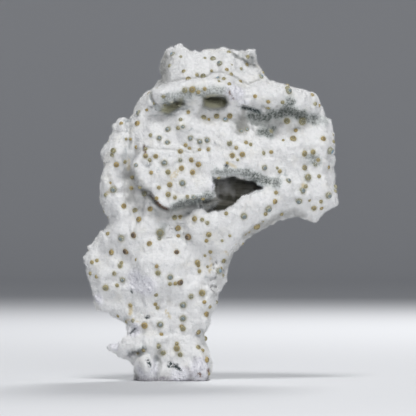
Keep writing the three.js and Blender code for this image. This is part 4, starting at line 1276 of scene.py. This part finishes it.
# %% A geometry tree to build on
class Growth(Tree):
    """A geometry node tree with named inputs."""

    def __init__(self, name, inputs):
        super().__init__(bpy.data.node_groups.new(name, "GeometryNodeTree"))
        self.add_socket("Geometry", "INPUT", "Geometry")
        self.add_socket("Geometry", "OUTPUT", "Geometry")
        self.identifiers = {}
        for key, (kind, value) in inputs.items():
            socket = self.add_socket(key, "INPUT", kind)
            self.identifiers[key] = socket.identifier
            if value is not None:
                socket.default_value = value
        self.inputs = self.add("NodeGroupInput")

    def add_socket(self, name, way, kind):
        kind = "NodeSocket" + kind
        return self.nodes.interface.new_socket(name, in_out=way, socket_type=kind)

    def given(self, name):
        return self.out(self.inputs, name)

    def named(self, name, kind="FLOAT"):
        settings = {"data_type": kind}
        return self.node("GeometryNodeInputNamedAttribute", settings, {"Name": name})

    def vector(self, operation, *values, output=0, **more):
        inputs = {**dict(enumerate(values)), **more}
        return self.node("ShaderNodeVectorMath", {"operation": operation}, inputs, output)

    def set_on(self, points, instance, direction, width, height):
        """Sets a copy at each point, turned and scaled, and gives all the tree's finish."""
        turn, scale = {"Vector": direction}, {0: width, 1: width, 2: height}
        copies = {
            "Points": points, "Instance": instance,
            "Rotation": self.node("FunctionNodeAlignRotationToVector", {"axis": "Z"}, turn),
            "Scale": self.node("ShaderNodeCombineXYZ", None, scale),
        }
        made = self.node("GeometryNodeInstanceOnPoints", None, copies)
        made = self.node("GeometryNodeRealizeInstances", None, {"Geometry": made})
        dressed = {"Geometry": made, "Material": self.given("Finish")}
        made = self.node("GeometryNodeSetMaterial", None, dressed)
        self.put(self.add("NodeGroupOutput").inputs[0], made)

    def run(self, target, settings):
        """Runs the tree on an object and keeps what it makes as the object's plain mesh."""
        modifier = target.modifiers.new(self.nodes.name, "NODES")
        modifier.node_group = self.nodes
        for name, value in settings.items():
            modifier[self.identifiers[name]] = value
        bpy.context.view_layer.update()
        evaluated = target.evaluated_get(bpy.context.evaluated_depsgraph_get())
        mesh = bpy.data.meshes.new_from_object(evaluated)
        target.modifiers.remove(modifier)
        target.data = mesh
        return target


# %% The tree that sets a ball at each point
build = Growth("ball at each point", {
    "Detail": ("Int", 3),
    "Flattening": ("Float", 0.94),
    "Finish": ("Material", None),
})
sphere = build.node(
    "GeometryNodeMeshIcoSphere", None, {"Radius": 1.0, "Subdivisions": build.given("Detail")}
)
up = build.height_of(build.node("GeometryNodeInputPosition"))
sphere = build.node(
    "GeometryNodeStoreNamedAttribute", None, {"Geometry": sphere, "Name": "up", "Value": up}
)
sphere = build.node("GeometryNodeSetShadeSmooth", None, {"Geometry": sphere})
radius = build.named("radius")
build.set_on(
    build.given("Geometry"), sphere, build.named("outwards", "FLOAT_VECTOR"),
    radius, radius * build.given("Flattening"),
)
print("ball tree nodes:", len(build.nodes.nodes))

# %% [markdown]
# ## Gyrolite
#
# Each ball is made of blades that radiate from its middle, so its surface is finely ribbed and
# a little glossy. Large balls are blue-grey, olive or brown in the middle, by their tone, and
# golden towards the rim. On small ones the gold reaches nearly to the middle.

# %% Gyrolite
MIDDLES = [  # a tone and the colour of a ball's middle
    (0.0, (0.20, 0.29, 0.36)), (0.1, (0.17, 0.195, 0.185)), (0.4, (0.20, 0.19, 0.11)),
    (0.9, (0.225, 0.175, 0.08)), (1.0, (0.09, 0.065, 0.045)),
]
RIMS = [  # and of its rim
    (0.0, (0.29, 0.29, 0.21)), (0.4, (0.33, 0.30, 0.16)), (0.9, (0.41, 0.31, 0.12)),
    (1.0, (0.24, 0.17, 0.08)),
]
gyrolite = Finish("gyrolite", 0.55)
tone, smallness = gyrolite.attribute("tone"), gyrolite.attribute("small")
middle = gyrolite.between(gyrolite.attribute("up") + gyrolite.grain(0.6) * 0.3, 0.80, 1.02)
rim, centre = gyrolite.by_stops(tone, RIMS), gyrolite.by_stops(tone, MIDDLES)
colour = gyrolite.mix(middle * (1 - smallness * 0.75), rim, centre)
frost = gyrolite.patches(0.5, 0.56, 0.66, 3)
gyrolite.link("Base Color", gyrolite.mix(frost * (0.6 - tone * 0.4), colour, OKENITE))
gyrolite.bump(gyrolite.grain(0.35, 3), depth_mm=0.12, strength=0.5)
print("gyrolite nodes:", len(gyrolite.nodes.nodes))

# %% Set the balls
ball_piece = build.run(cloud, {"Finish": gyrolite.material})
print("ball triangles:", len(ball_piece.data.polygons))

# %% [markdown]
# ## The pile of needles
#
# What makes okenite look soft is its pile: very fine needles that stand up all over the crust.
# Hair curves would be lost when the model is exported, so each needle is a real spike of four thin
# faces, thicker than in nature. A tree scatters points on the crust and sets a leaning spike of
# random length at each one. It sets none where a ball is or close to the ground, and fewer on the
# fresh breaks and in the cave.

# %% The tree that grows the pile
SQUARE_MM = 1e6  # in a square metre
BARE_FOOT = 2.3 * MM  # no needle grows lower than this
grow = Growth("pile of needles", {
    "Balls": ("Object", None),
    "Needles per square mm": ("Float", 1.0),
    "Length": ("Float", 1.0 * MM),
    "Thickness": ("Float", 0.14 * MM),
    "Lean": ("Float", 0.5),
    "Tufts": ("Float", 450.0),
    "Seed": ("Int", 1),
    "Finish": ("Material", None),
})
position = grow.node("GeometryNodeInputPosition")
density = grow.given("Needles per square mm") * SQUARE_MM * (1 - grow.named("broken") * 0.7)
density = density * (1 - grow.named("deep") * 0.5)
density = density * grow.math("GREATER_THAN", grow.height_of(position), BARE_FOOT)
scatter = grow.add(
    "GeometryNodeDistributePointsOnFaces", None,
    {"Mesh": grow.given("Geometry"), "Density": density, "Seed": grow.given("Seed")},
)
spots, facing = grow.out(scatter, "Points"), grow.out(scatter, "Normal")


# %% Keep the needles off the balls
CLEAR = 0.86  # of a ball's radius
balls_given = {"Object": grow.given("Balls")}
centres = grow.node("GeometryNodeObjectInfo", None, balls_given, "Geometry")
nearest_ball = grow.node("GeometryNodeSampleNearest", None, {0: centres})


def of_nearest(value, kind):
    settings = {"data_type": kind, "domain": "POINT"}
    return grow.node("GeometryNodeSampleIndex", settings, {0: centres, 1: value, 2: nearest_ball})


centre = of_nearest(position, "FLOAT_VECTOR")
apart = grow.vector("DISTANCE", position, centre, output="Value")
on_ball = grow.node(
    "FunctionNodeCompare", {"operation": "LESS_THAN"},
    {0: apart, 1: of_nearest(grow.named("radius"), "FLOAT") * CLEAR},
)
spots = grow.node("GeometryNodeDeleteGeometry", None, {"Geometry": spots, "Selection": on_ball})


# %% Lean, length and the spike itself
TUFT_STRENGTH = 4.0
SHORTEST, LONGEST = 0.5, 1.2  # times the length given
# The needles grow longer along the lines of dust and painted shade
DUST_AND_SHADE_LENGTH = 0.7  # this much longer where it is dusty


def random(low, high, kind, offset):
    first, output = (0, 0) if kind == "FLOAT_VECTOR" else (2, 1)
    inputs = {first: low, first + 1: high, "Seed": grow.given("Seed") + offset}
    return grow.node("FunctionNodeRandomValue", {"data_type": kind}, inputs, output)


side = random((-1, -1, -1), (1, 1, 1), "FLOAT_VECTOR", 1)
tuft = grow.node("ShaderNodeTexNoise", None, {"Scale": grow.given("Tufts")}, "Color")
tuft = grow.vector("SCALE", grow.vector("SUBTRACT", tuft, (0.5, 0.5, 0.5)), Scale=TUFT_STRENGTH)
sideways = grow.vector("SCALE", grow.vector("ADD", side, tuft), Scale=grow.given("Lean"))
spike = grow.node(
    "GeometryNodeMeshCone", {"fill_type": "NGON"},
    {"Vertices": 3, "Radius Top": 0.0, "Radius Bottom": 0.5, "Depth": 1.0},
)
length = grow.given("Length") * random(SHORTEST, LONGEST, "FLOAT", 2)
length = length * (1 + grow.named("dust") * DUST_AND_SHADE_LENGTH)
leaning = grow.vector("ADD", facing, sideways)
grow.set_on(spots, spike, leaning, grow.given("Thickness"), length)
print("pile tree nodes:", len(grow.nodes.nodes))

# %% [markdown]
# The needles are the same mineral as the crust, so they share its colour from place to place. Each
# one keeps the painted shade, dust and stains of the spot that it grows on, because the tree
# carries attributes along.

# %% The pile's finish
needles = Finish("okenite needles", 0.8)
needles.link("Base Color", okenite_colour(needles))

# %% Grow the pile in pieces
PILE_PIECES = 4
NEEDLES_EACH = 46000  # if none were left out
FIRST_SEED = 3
radii = {"radius": balls[:, 6] * MM}
centre_cloud = mesh_object("ball_centres", balls[:, :3], NO_FACES, radii)
area = sum(face.area for face in crust_piece.data.polygons) * SQUARE_MM
piles = []
for number in range(PILE_PIECES):
    ground = add_object(f"okenite_pile_{number + 1}", crust_piece.data.copy())
    piles.append(grow.run(ground, {
        "Balls": centre_cloud, "Needles per square mm": NEEDLES_EACH / area,
        "Seed": FIRST_SEED + number, "Finish": needles.material,
    }))
    print(ground.name, len(ground.data.polygons), "triangles on", round(area), "mm2 of crust")
bpy.data.objects.remove(centre_cloud)

# %% [markdown]
# ## Say what each piece is
#
# The specimen is one body that doesn't move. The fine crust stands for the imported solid, and the
# balls and the pile go with it.

# %% Join the pieces to the frame
for piece in [crust_piece, ball_piece, *piles]:
    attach(piece, "root")
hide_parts("okenite_specimen")

# %% [markdown]
# ## Floor, light and camera
#
# The specimen stands on a pale round floor that curves up far away on all sides, so that it meets
# no wall in a corner. Some light comes softly from everywhere, and lamps above, in front and
# behind bring out the folds. The camera doesn't see the lamps. It is far away, with a long lens,
# level with the specimen's middle.

# %% Floor
FLOOR_COLOUR = (0.72, 0.73, 0.75, 1)


def bowl(flat=3.2, rise=0.8, turns=72, steps=12):
    """A flat disc with a rim that curves up to upright; flat and rise are in metres."""
    profile = [(flat, 0.0)]
    for step in range(1, steps + 1):
        angle = math.pi / 2 * step / steps
        profile.append((flat + rise * math.sin(angle), rise * (1 - math.cos(angle))))
    angles = [2 * math.pi * turn / turns for turn in range(turns)]
    corners = [(r * math.cos(a), r * math.sin(a), z) for r, z in profile for a in angles]
    faces = [tuple(range(turns))]
    for ring in range(len(profile) - 1):
        for turn in range(turns):
            a, b = ring * turns + turn, ring * turns + (turn + 1) % turns
            faces.append((a, a + turns, b + turns, b))
    mesh = bpy.data.meshes.new("floor")
    mesh.from_pydata(corners, [], faces)
    mesh.shade_smooth()
    return mesh


floor = add_object("floor", bowl())
floor_finish = Finish("pale floor", 0.9)
floor_finish.link("Base Color", FLOOR_COLOUR)
floor.data.materials.append(floor_finish.material)

# %% Light
MIDDLE = (0.018, 0.0, 0.086)
LAMPS = [  # name, place, size and watts; all aim at the specimen's middle
    ("above", (0.0, -1.1, 1.9), 0.6, 24),
    ("beside the camera", (0.2, -1.5, 0.35), 0.5, 6),
    ("low on the right", (0.8, -1.3, 0.1), 0.5, 2),
    ("behind", (0.4, 1.3, 1.1), 0.6, 16),
]
for name, at, size, power in LAMPS:
    light = bpy.data.lights.new(name, "AREA")
    light.size, light.energy = size, power
    lamp = add_object(name, light)
    lamp.location = at
    lamp.visible_camera = False
    lamp.rotation_euler = (Vector(MIDDLE) - Vector(at)).to_track_quat("-Z", "Y").to_euler()
world = bpy.data.worlds.new("soft surroundings")
world.use_nodes = True
background = world.node_tree.nodes["Background"]
background.inputs["Color"].default_value = (0.9, 0.93, 1.0, 1)
background.inputs["Strength"].default_value = 0.17
bpy.context.scene.world = world
bpy.context.scene.view_settings.view_transform = "Standard"
print("lamps:", len(LAMPS))

# %% Camera
FRAME_WIDTH = 0.208  # metres, level with the specimen
DISTANCE = 2.4
camera = bpy.data.cameras.new("camera")
camera.sensor_width = 36
camera.lens = camera.sensor_width * DISTANCE / FRAME_WIDTH
camera_object = add_object("camera", camera)
camera_object.location = (MIDDLE[0], -DISTANCE, MIDDLE[2])
camera_object.rotation_euler = (math.pi / 2, 0, 0)
bpy.context.scene.camera = camera_object
print("lens, mm:", round(camera.lens))
